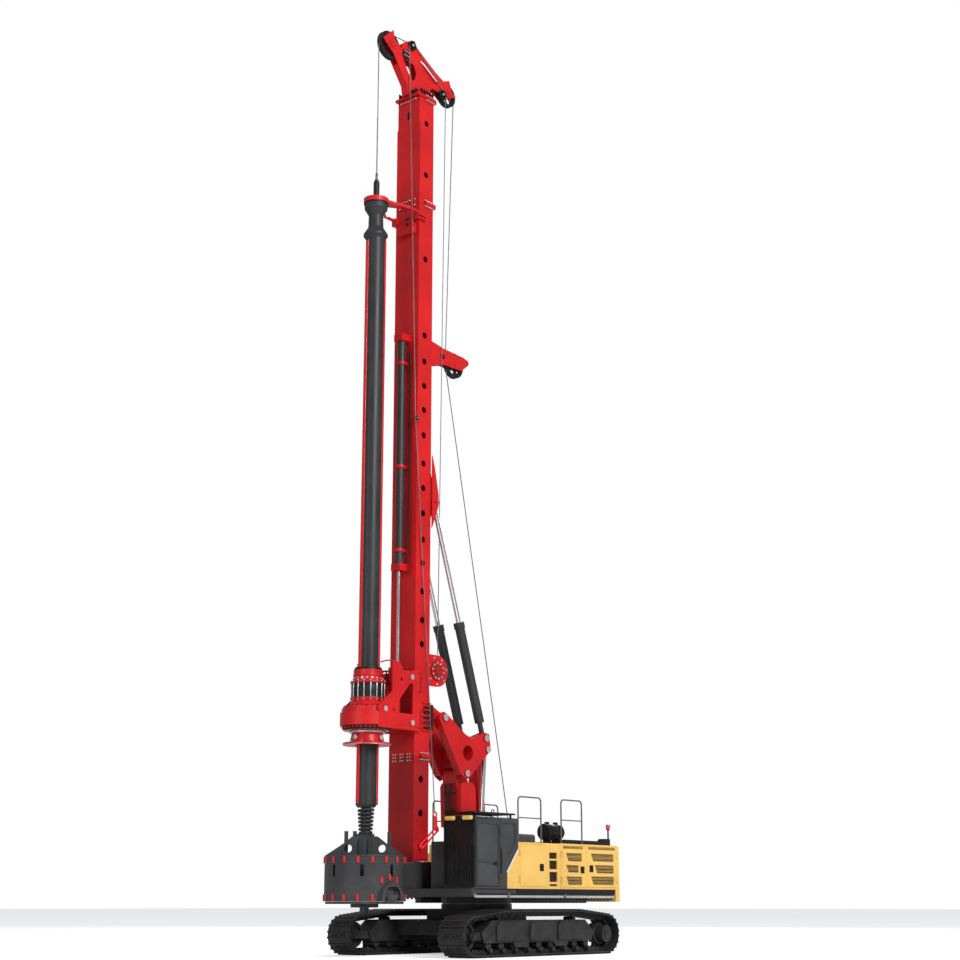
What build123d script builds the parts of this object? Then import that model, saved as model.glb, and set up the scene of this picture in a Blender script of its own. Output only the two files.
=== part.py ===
from build123d import *
import math
import os

# Rotary piling rig on tracks, parked with its mast up and a drilling bucket on its kelly bar.
# Millimetres, X forward, Y to the left, Z up, and the tracks stand on Z = 0. The pieces are
# modelled with the slewing axis at X = 0 and are moved by SHIFT_X when they are written, so
# that the origin lies under the middle of the whole rig.
SHIFT_X = -412

# Running clearances
PIN_FIT = 0.8
PAD_FIT = 0.5
SLIDE_FIT = 7.0
SEAT_GAP = 0.3

# Tracks
GAUGE = 3670
SHOE_WIDTH = 800
SHOE_COUNT = 48
SHOE_PLATE = 30
SHOE_LUG = 35
CHAIN_DEPTH = 110
CHAIN_NOTCH = 60
CHAIN_FLAT = 0.36
CHAIN_WIDTH = 250
IDLER = (2640, 490, 425)
CARRIER_FRONT = (1480, 925, 120)
CARRIER_REAR = (-1480, 925, 120)
SPROCKET = (-2610, 500, 435)
ROLLER_COUNT = 9
ROLLER_RADIUS = 100
ROLLER_SPAN = 3860
FRAME_HALF = 255
FRAME_Z = (330, 850)
BOSS_RADIUS = 210
BOSS_LENGTH = 340
PANEL_OUT = 45
FRAME_PANELS = ((-1700, -650), (-420, 480), (740, 1750))
ROLLER_GUARDS = ((-1150, -450), (450, 1150))

# Undercarriage centre and slewing ring
CENTRE_HALF = 900
BEAM_X = 1050
BEAM_WIDTH = 460
BEAM_Z = (480, 990)
RING_RADIUS = 900
RING_Z = (1090, 1235)
RING_GAP = 0.5

# Upper platform
DECK_X = (-3980, 1900)
DECK_HALF = 1450
DECK_Z = (1400, 1600)
DECK_SEAT = DECK_Z[1] + SEAT_GAP
SPINE_HALF = 520
WALKWAY_DEPTH = 50
WALKWAY_Z = (1380, 1480)

# Boom, links and delta frame: pin places in X and Z
PIN_BOOM_FOOT = (700, 1950)
PIN_BOOM_HEAD = (930, 4445)
PIN_DELTA_REAR = (100, 5100)
PIN_TIE_FOOT = (
    PIN_BOOM_FOOT[0] + PIN_DELTA_REAR[0] - PIN_BOOM_HEAD[0],
    PIN_BOOM_FOOT[1] + PIN_DELTA_REAR[1] - PIN_BOOM_HEAD[1],
)
PIN_LUFF_FOOT = (330, 2060)
PIN_BACKSTAY_FOOT = (170, 5385)
PIN_BACKSTAY_HEAD = (2155, 11310)
PIN_MAST = (1780, 5787)
PIN_RADIUS = 60
LINK_Y = 355
DELTA_OUT = 460
DELTA_IN = 250
DELTA_PLATE = 30
DELTA_TUBE = (880, 4960)
DELTA_TUBE_RADIUS = 225
DELTA_TUBE_BORE = 195
BOOM_HALF = 350
YOKE_HALF = 235
TIE_HALF = 150
TOWER_Y = (466, 496)

# Cylinders: barrel, rod and eye radii. The rod's eye is the pivot left open, so its bore has room to drift
LUFF_BARREL = 105
LUFF_ROD = 56
LUFF_EYE = 100
LUFF_DRIFT = 6
BACKSTAY_BARREL = 125
BACKSTAY_ROD = 62
BACKSTAY_EYE = 112
BACKSTAY_DRIFT = 17
BACKSTAY_PIN = 48
BORE_ROOM = 20
GLAND = 90
EYE_WIDTH = 120

# Mast
MAST_BACK = 2304
MAST_FRONT = 2876
MAST_HALF = 395
MAST_WALL = 30
RAIL_OUT = 30
RAIL_DEPTH = 100
RAIL_TOP = 21800
MAST_FOOT_Z = 2240
MAST_SPLIT_Z = (4770, 19500)
MAST_TOP_Z = 22620
FLANGE_OUT = 55
FLANGE_THICK = 60
FLANGE_BACK = 250
FRONT_FLANGE_HALF = 300
ROPE_BOX_HALF = 310
ROPE_BOX_Z = (18600, 19050)
FOOT_COVER_X = (2330, 2760)
FOOT_COVER_Z = (2290, 3300)
SIDE_HOLE_RADIUS = 85
AUX_WINCH = (1975, 6950)
SIDE_HOLES_Z = (
    (3390, 4210),
    (7560, 8170, 8910, 9640, 10250, 10940, 11610, 12260, 13020, 13710, 14370, 15040, 15760, 17910),
    (20350, 21870),
)

# Mast head
HEAD_HALF = 110
HEAD_PLATE = 25
SHEAVE_FRONT = (3720, 23900, 400)
SHEAVE_REAR = (1370, 23330, 350)
SHEAVE_AUX = (2930, 24180, 150)
SHEAVE_WIDTH = 110
SHEAVE_GROOVE = 40

# Rope guide on the back of the mast
GUIDE_SHEAVE = (1000, 15400, 350)
GUIDE_PLATE_Y = (70, 100)

# Crowd cylinder and carriage
CROWD_X = 3050
CROWD_BARREL = 102
CROWD_BORE = 70
CROWD_ROD = 42
CROWD_Z = (9441, 15576)
CROWD_ROD_Z = (6960, 11900)
CARRIAGE_IN = MAST_HALF + RAIL_OUT + SLIDE_FIT
CARRIAGE_OUT = 620
CARRIAGE_PLATE = 40
CARRIAGE_BACK = 14
CARRIAGE_Z = (5345, 6860)
CRADLE_END = 4350
CRADLE_PINS = ((4134, 5800), (3198, 6650), (3170, 5530))

# Kelly bar and rotary drive
KELLY_X = 4100
KELLY_RADIUS = 254
KELLY_KEY = 30
KELLY_KEY_WIDTH = 90
KELLY_KEY_ANGLES = (-5, 115, 235)
KELLY_BOTTOM = 3534
KELLY_TOP = 18200
DRIVE_BORE = 300
DRIVE_RADIUS = 670
DRIVE_Z = (5400, 5720)
GUIDE_Z = (18960, 19230)
SWIVEL_RADIUS = 80
SPRING_TURNS = 7
SPIGOT_RADIUS = 345
SPIGOT_LENGTH = 60
CASING_BOLTS = 12
CASING_PCD = 1060
CASING_HOLE = 16

# Drilling bucket
BUCKET_RADIUS = 960
BUCKET_WALL = 30
BUCKET_Z = (1290, 2340)
BUCKET_STRIPS = 18
BUCKET_SLOTS = 8
SLOT_ANGLE = 40
STRIP_ANGLE = 34.5
STUB_HALF = 165
BRIDGE_ANGLE = 40
HINGE = (1035, 1405)
HINGE_ANGLE = 81
HINGE_PIN = 30
HOOD_HALF = 330
HOOD_TOP = 1710
HOOD_OUT = 1105

# Cab and housing share the house's side line, which stands proud of the deck
HOUSE_HALF = DECK_HALF + 50
CAB_X = (160, 1800)
CAB_Y = (505, HOUSE_HALF)
CAB_Z = (DECK_SEAT, 3330)
CAB_WALL = 60
CAB_CUT = (600, 1990, 2560)
CAB_ROUND = 80
DOOR_X = (870, 1770)
DOOR_Z = (1650, 3270)
DOOR_GAP = 6
DOOR_PANES = ((930, 1712), (2270, 3150)), ((930, 1712), (1700, 2215))
PANE_ROUND = 45
QUARTER_PANE = ((790, 3180), (260, 3180), (260, 2700), (520, 2420), (790, 2420))
SIDE_PANE = (420, 1680), (2250, 3200)
SCREEN_Z = (1780, 3200)
REAR_PANE_Z = (2680, 3200)
ROOF_GUARD = 65
GUARD_BARS = 11
LAMP_SIZE = (110, 250, 95)
LAMP_SPOTS = ((1905, 800), (1905, 1370))

# Housing
HOUSE_X = (-4090, -1565)
HOUSE_BAY = -1665
HOUSE_Z = (DECK_SEAT, 2750)
CABINET_TOP = 2740
HOUSE_WALL = 40
CABINET_IN = 960
HOUSE_DOORS = ((-2690, -1630), (-4025, -2715))
# Doorway, hinge edge, and the side of that edge on which the door lies
HOUSE_HINGES = ((HOUSE_DOORS[0], HOUSE_DOORS[0][1], -1), (HOUSE_DOORS[1], HOUSE_DOORS[1][0], 1))
DOOR_ROW_Z = (1650, 2700)
CABINET_DOOR = (-990, 90)
VENT_X = (-1440, -1110)
VENT_Z = ((1675, 1720), (1780, 2025), (2095, 2310), (2355, 2510))
SLOT_TALL = 14
SLOT_STEP = 34
GRILLE_SKEW = 90
# Front and rear edge, lowest and highest height of each grille, by door
GRILLES = {
    HOUSE_DOORS[0]: ((-1823, -2474, 1720, 1915), (-1823, -2330, 2030, 2205), (-1823, -2474, 2315, 2510),
                     (-1690, -2530, 2628, 2680)),
    HOUSE_DOORS[1]: ((-2900, -3890, 1730, 1930), (-3070, -3890, 2025, 2225), (-2900, -3890, 2330, 2515),
                     (-2780, -3960, 2628, 2680)),
}
HINGE_Y = HOUSE_HALF + 24
KNUCKLE = 16
KNUCKLE_PIN = 8
KNUCKLE_HALF = 40
DOOR_HINGES_Z = (1850, 2490)
CAB_HINGES_Z = (1900, 3020)
MAIN_WINCH = (-1180, 2250)
CLEANER = (900, 3060, 210)
CLEANER_X = (-2330, -1600)
DUCT_X = (-3720, -1960)
BEACON = (-3960, 1300)
RAIL_TUBE = 20
RAIL_ROUND = 110
RAIL_HIGH = 3870
RAIL_MIDDLE = 3350
RAIL_BAYS = ((-850, 80), (-2590, -1700))

written = {}


def block(x, y, z):
    """A box from three pairs of limits."""
    size = [abs(high - low) for low, high in (x, y, z)]
    middle = [(low + high) / 2 for low, high in (x, y, z)]
    return Pos(*middle) * Box(*size)


def disc_y(at, radius, y):
    """A cylinder along Y about the point (x, z)."""
    return Pos(at[0], (y[0] + y[1]) / 2, at[1]) * Rot(90, 0, 0) * Cylinder(radius, y[1] - y[0])


def disc_z(x, y, radius, z):
    """A cylinder along Z."""
    return Pos(x, y, (z[0] + z[1]) / 2) * Cylinder(radius, z[1] - z[0])


def disc_x(y, z, radius, x):
    """A cylinder along X."""
    return Pos((x[0] + x[1]) / 2, y, z) * Rot(0, 90, 0) * Cylinder(radius, x[1] - x[0])


def slab_xz(points, y, holes=()):
    """A side outline in X and Z, with round holes (x, z, radius), from y[0] to y[1]."""
    face = make_face(Polyline(*points, close=True))
    for x, z, radius in holes:
        face -= Pos(x, z) * Circle(radius)
    solid = extrude(face, y[1] - y[0], dir=(0, 0, 1))
    return Plane(origin=(0, y[1], 0), x_dir=(1, 0, 0), z_dir=(0, -1, 0)) * solid


def slab_xy(points, z):
    """A plan outline in X and Y, from z[0] to z[1]."""
    face = make_face(Polyline(*points, close=True))
    return Pos(0, 0, z[0]) * extrude(face, z[1] - z[0], dir=(0, 0, 1))


def slab_yz(points, x):
    """A front outline in Y and Z, from x[0] to x[1]."""
    face = make_face(Polyline(*points, close=True))
    solid = extrude(face, x[1] - x[0], dir=(0, 0, 1))
    return Plane(origin=(x[0], 0, 0), x_dir=(0, 1, 0), z_dir=(1, 0, 0)) * solid


def rounded_xz(points, radius, y):
    """A side outline with its corners rounded, from y[0] to y[1]."""
    face = make_face(Polyline(*points, close=True))
    face = fillet(face.vertices(), radius)
    solid = extrude(face, y[1] - y[0], dir=(0, 0, 1))
    return Plane(origin=(0, y[1], 0), x_dir=(1, 0, 0), z_dir=(0, -1, 0)) * solid


def pane_xz(x, z, y, radius=PANE_ROUND):
    """A window's opening or pane with rounded corners."""
    return rounded_xz([(x[0], z[0]), (x[1], z[0]), (x[1], z[1]), (x[0], z[1])], radius, y)


def turned(profile, x=0, y=0):
    """A solid of revolution about a vertical line, from a closed outline of (radius, z)."""
    face = make_face(Polyline(*profile, close=True))
    return Pos(x, y, 0) * Rot(90, 0, 0) * revolve(face, Axis.Y)


def along(start, end, y, radius, first, last):
    """A round bar on the line from start to end, both (x, z), between two distances."""
    reach = math.dist(start, end)
    ux, uz = (end[0] - start[0]) / reach, (end[1] - start[1]) / reach
    base = Plane(origin=(start[0] + ux * first, y, start[1] + uz * first), z_dir=(ux, 0, uz))
    return base * Cylinder(radius, last - first, align=(Align.CENTER, Align.CENTER, Align.MIN))


def link_outline(ends, bulge):
    """The tangent outline round two eyes, each (x, z, radius), as a face with straight sides."""
    (x0, z0, r0), (x1, z1, r1) = ends
    face = Pos(x0, z0) * Circle(r0) + Pos(x1, z1) * Circle(r1)
    reach = math.dist((x0, z0), (x1, z1))
    turn = math.atan2(z1 - z0, x1 - x0)
    lean = math.asin((r0 - r1) / reach)
    corners = []
    for x, z, r, side in ((x0, z0, r0, 1), (x1, z1, r1, 1), (x1, z1, r1, -1), (x0, z0, r0, -1)):
        angle = turn + side * (math.pi / 2 - lean)
        corners.append((x + r * bulge * math.cos(angle), z + r * bulge * math.sin(angle)))
    return face + make_face(Polyline(*corners, close=True))


def link_xz(ends, y, bores=()):
    """A link with two eyes in the XZ plane, from y[0] to y[1], with its pin bores cut."""
    solid = extrude(link_outline(ends, 1.0), y[1] - y[0], dir=(0, 0, 1))
    solid = Plane(origin=(0, y[1], 0), x_dir=(1, 0, 0), z_dir=(0, -1, 0)) * solid
    for x, z, radius in bores:
        solid -= disc_y((x, z), radius, (y[0] - 1, y[1] + 1))
    return solid


def save(shape, node):
    """Moves a piece to the rig's frame and writes it under its node's name."""
    shape = Pos(SHIFT_X, 0, 0) * shape
    written[node] = shape
    export_step(shape, f"parts/{node}.step")


def belt_path(wheels):
    """Arcs and straight runs round the wheels: lists of (length, kind, values)."""
    count = len(wheels)
    normals = []
    for i, (x0, z0, r0) in enumerate(wheels):
        x1, z1, r1 = wheels[(i + 1) % count]
        reach = math.dist((x0, z0), (x1, z1))
        turn = math.atan2(z1 - z0, x1 - x0)
        normals.append(turn - math.pi / 2 + math.asin((r0 - r1) / reach))
    path = []
    for i, (x0, z0, r0) in enumerate(wheels):
        start, end = normals[i - 1], normals[i]
        sweep = (end - start) % (2 * math.pi)
        path.append((sweep * r0, "arc", (x0, z0, r0, start, sweep)))
        x1, z1, r1 = wheels[(i + 1) % count]
        first = (x0 + r0 * math.cos(end), z0 + r0 * math.sin(end))
        last = (x1 + r1 * math.cos(end), z1 + r1 * math.sin(end))
        path.append((math.dist(first, last), "run", (first, last, end)))
    return path


def belt_points(path, stations):
    """Points of a belt from pairs of (share of the whole length, height over its inner side)."""
    total = sum(piece[0] for piece in path)
    points = []
    for share, height in stations:
        rest = (share % 1.0) * total
        for length, kind, values in path:
            if rest <= length:
                break
            rest -= length
        if kind == "arc":
            x, z, r, start, sweep = values
            angle = start + sweep * rest / length
            points.append((x + (r + height) * math.cos(angle), z + (r + height) * math.sin(angle)))
        else:
            first, last, angle = values
            share_run = rest / length
            x = first[0] + (last[0] - first[0]) * share_run + height * math.cos(angle)
            z = first[1] + (last[1] - first[1]) * share_run + height * math.sin(angle)
            points.append((x, z))
    return points


def track_loop(middle):
    """One track: the chain as a plain ring inside a ring of shoes with two lugs each."""
    path = belt_path((IDLER, CARRIER_FRONT, CARRIER_REAR, SPROCKET))
    top = SHOE_PLATE + SHOE_LUG
    # share of a shoe's length, height over the shoe's inner side
    shoe = ((0.04, SHOE_PLATE), (0.12, SHOE_PLATE), (0.16, top), (0.24, top), (0.28, SHOE_PLATE),
            (0.60, SHOE_PLATE), (0.64, top), (0.72, top), (0.76, SHOE_PLATE), (0.98, SHOE_PLATE))
    outer = [((i + s) / SHOE_COUNT, h) for i in range(SHOE_COUNT) for s, h in shoe]
    inner = [((i + s) / SHOE_COUNT, 0) for i in range(SHOE_COUNT) for s in (0.0, 0.5)]
    ring = [((i + s) / SHOE_COUNT, SHOE_PLATE / 3) for i in range(SHOE_COUNT) for s in (0.0, 0.5)]
    # share of a link's length, height over the shoe's inner side
    link = ((0.0, -CHAIN_DEPTH), (CHAIN_FLAT, -CHAIN_DEPTH), (0.42, -CHAIN_NOTCH), (0.58, -CHAIN_NOTCH),
            (1 - CHAIN_FLAT, -CHAIN_DEPTH))
    chain = [((i + s) / SHOE_COUNT, h) for i in range(SHOE_COUNT) for s, h in link]
    wide = (middle - SHOE_WIDTH / 2, middle + SHOE_WIDTH / 2)
    narrow = (middle - CHAIN_WIDTH / 2, middle + CHAIN_WIDTH / 2)
    far = (wide[0] - 1, wide[1] + 1)
    shoes = slab_xz(belt_points(path, outer), wide) - slab_xz(belt_points(path, inner), far)
    links = slab_xz(belt_points(path, ring), narrow) - slab_xz(belt_points(path, chain), far)
    return shoes + links


def track_frame(middle):
    """A side frame with its idler fork and the bottom and carrier rollers on their shafts."""
    inner, outer = middle - FRAME_HALF, middle + FRAME_HALF
    low, high = FRAME_Z
    side = [(-2180, 560), (-2040, low), (2180, low), (2280, 560), (1900, high), (-1800, high)]
    frame = slab_xz(side, (inner, outer))
    fork_in = CHAIN_WIDTH / 2 + 20
    fork = [(2100, 400), (2860, 400), (2930, 490), (2860, 580), (2100, 580)]
    for sign in (1, -1):
        limits = sorted((middle + sign * fork_in, middle + sign * (fork_in + 60)))
        frame += slab_xz(fork, limits)
    first = -ROLLER_SPAN / 2
    step = ROLLER_SPAN / (ROLLER_COUNT - 1)
    seat = SPROCKET[1] - SPROCKET[2] + CHAIN_DEPTH
    for i in range(ROLLER_COUNT):
        spot = (first + i * step + 30, seat + ROLLER_RADIUS + SEAT_GAP)
        frame += disc_y(spot, ROLLER_RADIUS, (middle - 200, middle + 200))
    for x, z, radius in (CARRIER_FRONT, CARRIER_REAR):
        roller = disc_y((x, z - CHAIN_DEPTH / 2), radius - CHAIN_DEPTH / 2 - 5, (middle - 150, middle + 150))
        frame += roller + block((x - 40, x + 40), (middle - 60, middle + 60), (high - 40, z))
    outward = 1 if middle > 0 else -1
    face = sorted((middle + outward * (FRAME_HALF - 5), middle + outward * (FRAME_HALF + PANEL_OUT)))
    for x0, x1 in FRAME_PANELS:
        panel = [(x0, low + 40), (x1, low + 40), (x1, high - 130), (x1 - 90, high - 40), (x0 + 90, high - 40),
                 (x0, high - 130)]
        frame += slab_xz(panel, face)
    plate = sorted((middle + outward * (FRAME_HALF - 35), middle + outward * (FRAME_HALF + 5)))
    for x0, x1 in ROLLER_GUARDS:
        guard = [(x0, low + 60), (x0 + 120, low - 110), (x1 - 120, low - 110), (x1, low + 60)]
        frame += slab_xz(guard, plate)
    return frame


def wheel_radius(radius):
    """The largest wheel that fits inside the chain, whose inner side is a row of straight links."""
    length = sum(piece[0] for piece in belt_path((IDLER, CARRIER_FRONT, CARRIER_REAR, SPROCKET)))
    link = length / SHOE_COUNT * CHAIN_FLAT
    return (radius - CHAIN_DEPTH) * math.cos(link / radius / 2) - SEAT_GAP


def idler_wheel(middle):
    """The front idler: a rimmed disc on its axle."""
    x, z, radius = IDLER
    rim = wheel_radius(radius)
    half = CHAIN_WIDTH / 2 + 10
    profile = [(0, -half), (90, -half), (90, -40), (rim - 70, -40), (rim - 70, -90), (rim, -90),
               (rim, 90), (rim - 70, 90), (rim - 70, 40), (90, 40), (90, half), (0, half)]
    wheel = make_face(Polyline(*profile, close=True))
    return Pos(x, middle, z) * revolve(wheel, Axis.Y)


def drive_sprocket(middle):
    """The rear sprocket with its teeth and the final drive's boss on its outer side."""
    x, z, radius = SPROCKET
    tip = wheel_radius(radius)
    teeth = 13
    points = []
    # share of a tooth's angle, radius
    for i in range(teeth):
        for share, r in ((0.0, tip - 60), (0.30, tip - 60), (0.42, tip), (0.88, tip)):
            angle = 2 * math.pi * (i + share) / teeth
            points.append((x + r * math.cos(angle), z + r * math.sin(angle)))
    wheel = slab_xz(points, (middle - 50, middle + 50))
    outward = 1 if middle > 0 else -1
    boss = sorted((middle - outward * 200, middle + outward * BOSS_LENGTH))
    hub = disc_y((x, z), BOSS_RADIUS, boss)
    flange = sorted((middle + outward * 50, middle + outward * 110))
    return wheel + hub + disc_y((x, z), BOSS_RADIUS + 60, flange)


def carbody():
    """The centre box, two cross beams and the fixed half of the slewing ring."""
    inner = GAUGE / 2 - FRAME_HALF
    side = CENTRE_HALF
    body = block((-side, side), (-side, side), (BEAM_Z[0] - 60, RING_Z[0]))
    for x in (BEAM_X, -BEAM_X):
        limits = (x - BEAM_WIDTH / 2, x + BEAM_WIDTH / 2)
        body += block(limits, (-inner, inner), (BEAM_Z[0], FRAME_Z[1] - 10))
    return body + disc_z(0, 0, RING_RADIUS, RING_Z)


def platform():
    """The upper deck: slewing ring half, spine beams, side decks and the pin towers."""
    base = RING_Z[1] + RING_GAP
    deck = block(DECK_X, (-DECK_HALF, DECK_HALF), DECK_Z)
    deck += disc_z(0, 0, RING_RADIUS - 20, (base, DECK_Z[0]))
    for side in (1, -1):
        spine = sorted((side * (SPINE_HALF - 180), side * SPINE_HALF))
        deck += block((DECK_X[0], 1750), spine, (base + 20, DECK_Z[0]))
        tower = [(880, DECK_Z[1]), (880, 1960), (700, 2150), (560, 2200), (40, 2760), (-160, 2800),
                 (-340, 2700), (-620, DECK_Z[1])]
        wall = sorted((side * TOWER_Y[0], side * TOWER_Y[1]))
        deck += slab_xz(tower, wall)
    for at in (PIN_BOOM_FOOT, PIN_LUFF_FOOT, PIN_TIE_FOOT):
        deck += disc_y(at, PIN_RADIUS, (-TOWER_Y[1], TOWER_Y[1]))
    return deck


def walkways():
    """Ribbed step strips along both edges of the deck, in three lengths each."""
    strips = None
    for side in (1, -1):
        for x in ((590, 1790), (-1700, 490), (-3900, -1800)):
            y = sorted((side * (DECK_HALF + SEAT_GAP), side * (DECK_HALF + WALKWAY_DEPTH)))
            strip = block(x, y, WALKWAY_Z)
            strips = strip if strips is None else strips + strip
    return strips


def counterweight():
    """The rear weight with its lower lip, as wide as the deck."""
    front, upper_front = DECK_X[0] - SEAT_GAP, HOUSE_X[0] - SEAT_GAP
    profile = [(-4250, 1290), (front, 1290), (front, DECK_Z[1]), (upper_front, DECK_Z[1]),
               (upper_front, 2720),
               (-4170, 2720), (-4225, 2680), (-4250, 2600)]
    weight = slab_xz(profile, (-HOUSE_HALF, HOUSE_HALF))
    corners = weight.edges().filter_by(Axis.Z).group_by(Axis.X)[0]
    return chamfer(corners, 90)


def boom():
    """The boom: a foot hub, a neck between the luffing cylinders, a wide box and a head."""
    foot, head = PIN_BOOM_FOOT, PIN_BOOM_HEAD
    hub = disc_y(foot, 165, (-230, 230))
    neck = slab_xz([(foot[0] - 160, foot[1]), (foot[0] + 160, foot[1]), (1010, 3500), (455, 3500)],
                   (-230, 230))
    box = slab_xz([(480, 3120), (990, 3120), (1035, 4130), (960, 4230), (560, 4230), (450, 4080),
                   (430, 3400)], (-BOOM_HALF, BOOM_HALF))
    neck_out = slab_xz([(470, 2500), (985, 2500), (1000, 3200), (470, 3200)], (-230, 230))
    yoke = link_xz(((head[0], head[1], 165), (800, 4120, 240)), (-YOKE_HALF, YOKE_HALF))
    solid = hub + neck + neck_out + box + yoke
    solid -= disc_y(foot, PIN_RADIUS + PIN_FIT, (-800, 800))
    return solid - disc_y(head, PIN_RADIUS + PIN_FIT, (-800, 800))


def tie_link():
    """The rear link that keeps the delta frame level: a flat box with an eye at each end."""
    foot, head = PIN_TIE_FOOT, PIN_DELTA_REAR
    bores = ((foot[0], foot[1], PIN_RADIUS + PIN_FIT), (head[0], head[1], PIN_RADIUS + PIN_FIT))
    return link_xz(((foot[0], foot[1], 130), (head[0], head[1], 110)), (-TIE_HALF, TIE_HALF), bores)


def delta_outline():
    """Side view of the delta frame's plates."""
    return [(1800, 5930), (1640, 5850), (1300, 5625), (975, 5424), (748, 5342), (471, 5447),
            (240, 5530), (40, 5500), (-30, 5090), (320, 4790), (773, 4376), (933, 4287),
            (1119, 4387), (2000, 5760), (1940, 5900)]


def delta_frame():
    """The delta frame: two plates a side, open at the rear for the cylinder eyes, a bored cross
    tube and the pins of the boom's head, the mast and the cylinders."""
    frame = None
    tube = (DELTA_TUBE[0], DELTA_TUBE[1], DELTA_TUBE_BORE)
    head = (PIN_BOOM_HEAD[0], PIN_BOOM_HEAD[1])
    for side in (1, -1):
        for low, high in ((DELTA_IN, DELTA_IN + DELTA_PLATE), (DELTA_OUT - DELTA_PLATE, DELTA_OUT)):
            wall = sorted((side * low, side * high))
            plate = slab_xz(delta_outline(), wall, (tube,))
            frame = plate if frame is None else frame + plate
        middle = sorted((side * (DELTA_IN + DELTA_PLATE), side * (DELTA_OUT - DELTA_PLATE)))
        edge = [(1950, 5790), (1080, 4440), (1110, 4400), (1990, 5750)]
        rim = [(1640, 5850), (975, 5424), (748, 5342), (748, 5310), (975, 5390), (1640, 5810)]
        frame += slab_xz(edge, middle) + slab_xz(rim, middle)
    ring = disc_y(DELTA_TUBE, DELTA_TUBE_RADIUS, (-DELTA_OUT, DELTA_OUT))
    frame += ring - disc_y(DELTA_TUBE, DELTA_TUBE_BORE, (-600, 600))
    frame -= disc_y(DELTA_TUBE, DELTA_TUBE_BORE, (-600, 600))
    for at in (head, PIN_DELTA_REAR, PIN_MAST):
        frame += disc_y(at, PIN_RADIUS, (-DELTA_OUT - 35, DELTA_OUT + 35))
    for side in (1, -1):
        pin = sorted((side * (DELTA_IN - 10), side * (DELTA_OUT + 35)))
        frame += disc_y(PIN_BACKSTAY_FOOT, PIN_RADIUS, pin)
    return frame


def cylinder_barrel(foot, head, barrel, rod, first, last):
    """A barrel from its foot eye to its gland, which carries the rod; drawn at Y = 0."""
    solid = disc_y(foot, barrel * 0.95, (-EYE_WIDTH / 2, EYE_WIDTH / 2))
    solid += along(foot, head, 0, barrel * 0.54, barrel * 0.5, first + 30)
    solid += along(foot, head, 0, barrel, first, last)
    solid += along(foot, head, 0, barrel * 1.14, last - 160, last)
    solid -= along(foot, head, 0, rod + BORE_ROOM, first + 120, last - GLAND)
    solid -= along(foot, head, 0, rod + PIN_FIT, first + 130, last + 10)
    return solid - disc_y(foot, PIN_RADIUS + PIN_FIT, (-EYE_WIDTH, EYE_WIDTH))


def cylinder_rod(foot, head, rod, eye, bore, first):
    """A rod from inside its barrel to its open eye at the head; drawn at Y = 0."""
    reach = math.dist(foot, head)
    solid = along(foot, head, 0, rod, first, reach - eye * 0.6)
    solid += disc_y(head, eye, (-EYE_WIDTH / 2, EYE_WIDTH / 2))
    return solid - disc_y(head, bore, (-EYE_WIDTH, EYE_WIDTH))


def mast_section(low, high, holes, rail_high=None):
    """A hollow box section with a guide rail along each front corner and lightening holes."""
    outer = block((MAST_BACK, MAST_FRONT), (-MAST_HALF, MAST_HALF), (low, high))
    inner_x = (MAST_BACK + MAST_WALL, MAST_FRONT - MAST_WALL)
    inner_y = (-MAST_HALF + MAST_WALL, MAST_HALF - MAST_WALL)
    section = outer - block(inner_x, inner_y, (low - 1, high + 1))
    for side in (1, -1):
        rail = sorted((side * (MAST_HALF - 10), side * (MAST_HALF + RAIL_OUT)))
        section += block((MAST_FRONT - RAIL_DEPTH, MAST_FRONT), rail, (low, rail_high or high))
    middle = (MAST_BACK + MAST_FRONT) / 2
    for z in holes:
        section -= disc_y((middle, z), SIDE_HOLE_RADIUS, (-600, 600))
    return section


def mast_flange(z, inner=True):
    """A bolted flange round the mast, kept clear of the front so that the rails run through."""
    outer = block((MAST_BACK - FLANGE_OUT, MAST_FRONT - FLANGE_BACK),
                  (-MAST_HALF - FLANGE_OUT, MAST_HALF + FLANGE_OUT), z)
    hole = block((MAST_BACK + MAST_WALL, MAST_FRONT), (-MAST_HALF + MAST_WALL, MAST_HALF - MAST_WALL),
                 (z[0] - 1, z[1] + 1))
    return outer - hole if inner else outer


def front_flange(z, up):
    """A bolted flange on the mast's front between the rails, with ribs on one side of it."""
    y, thick = FRONT_FLANGE_HALF, FLANGE_THICK - 20
    front = MAST_FRONT + FLANGE_OUT
    limits = (z, z + thick) if up else (z - thick, z)
    flange = block((MAST_FRONT - 5, front), (-y, y), limits)
    root, tip = (z + thick - 2, z + thick + 190) if up else (z - thick + 2, z - thick - 120)
    for i in range(5):
        spot = -y + 15 + i * (y - 15) / 2
        rib = [(MAST_FRONT - 5, root), (front - 5, root), (MAST_FRONT - 5, tip)]
        flange += slab_xz(rib, (spot - 8, spot + 8))
    return flange


def mast_lower():
    """The foot section with its bottom plate and the cover low on its left side."""
    low, high = MAST_FOOT_Z, MAST_SPLIT_Z[0]
    section = mast_section(low, high - SEAT_GAP, SIDE_HOLES_Z[0])
    foot = block((MAST_BACK, MAST_FRONT), (-MAST_HALF, MAST_HALF), (low, low + 40))
    cover = [(FOOT_COVER_X[0], FOOT_COVER_Z[0]), (FOOT_COVER_X[1], FOOT_COVER_Z[0]),
             (FOOT_COVER_X[1], FOOT_COVER_Z[1] - 220), (FOOT_COVER_X[1] - 160, FOOT_COVER_Z[1]),
             (FOOT_COVER_X[0], FOOT_COVER_Z[1])]
    section += slab_xz(cover, (MAST_HALF - 5, MAST_HALF + 14))
    return section + foot + mast_flange((high - FLANGE_THICK, high - SEAT_GAP))


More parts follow.
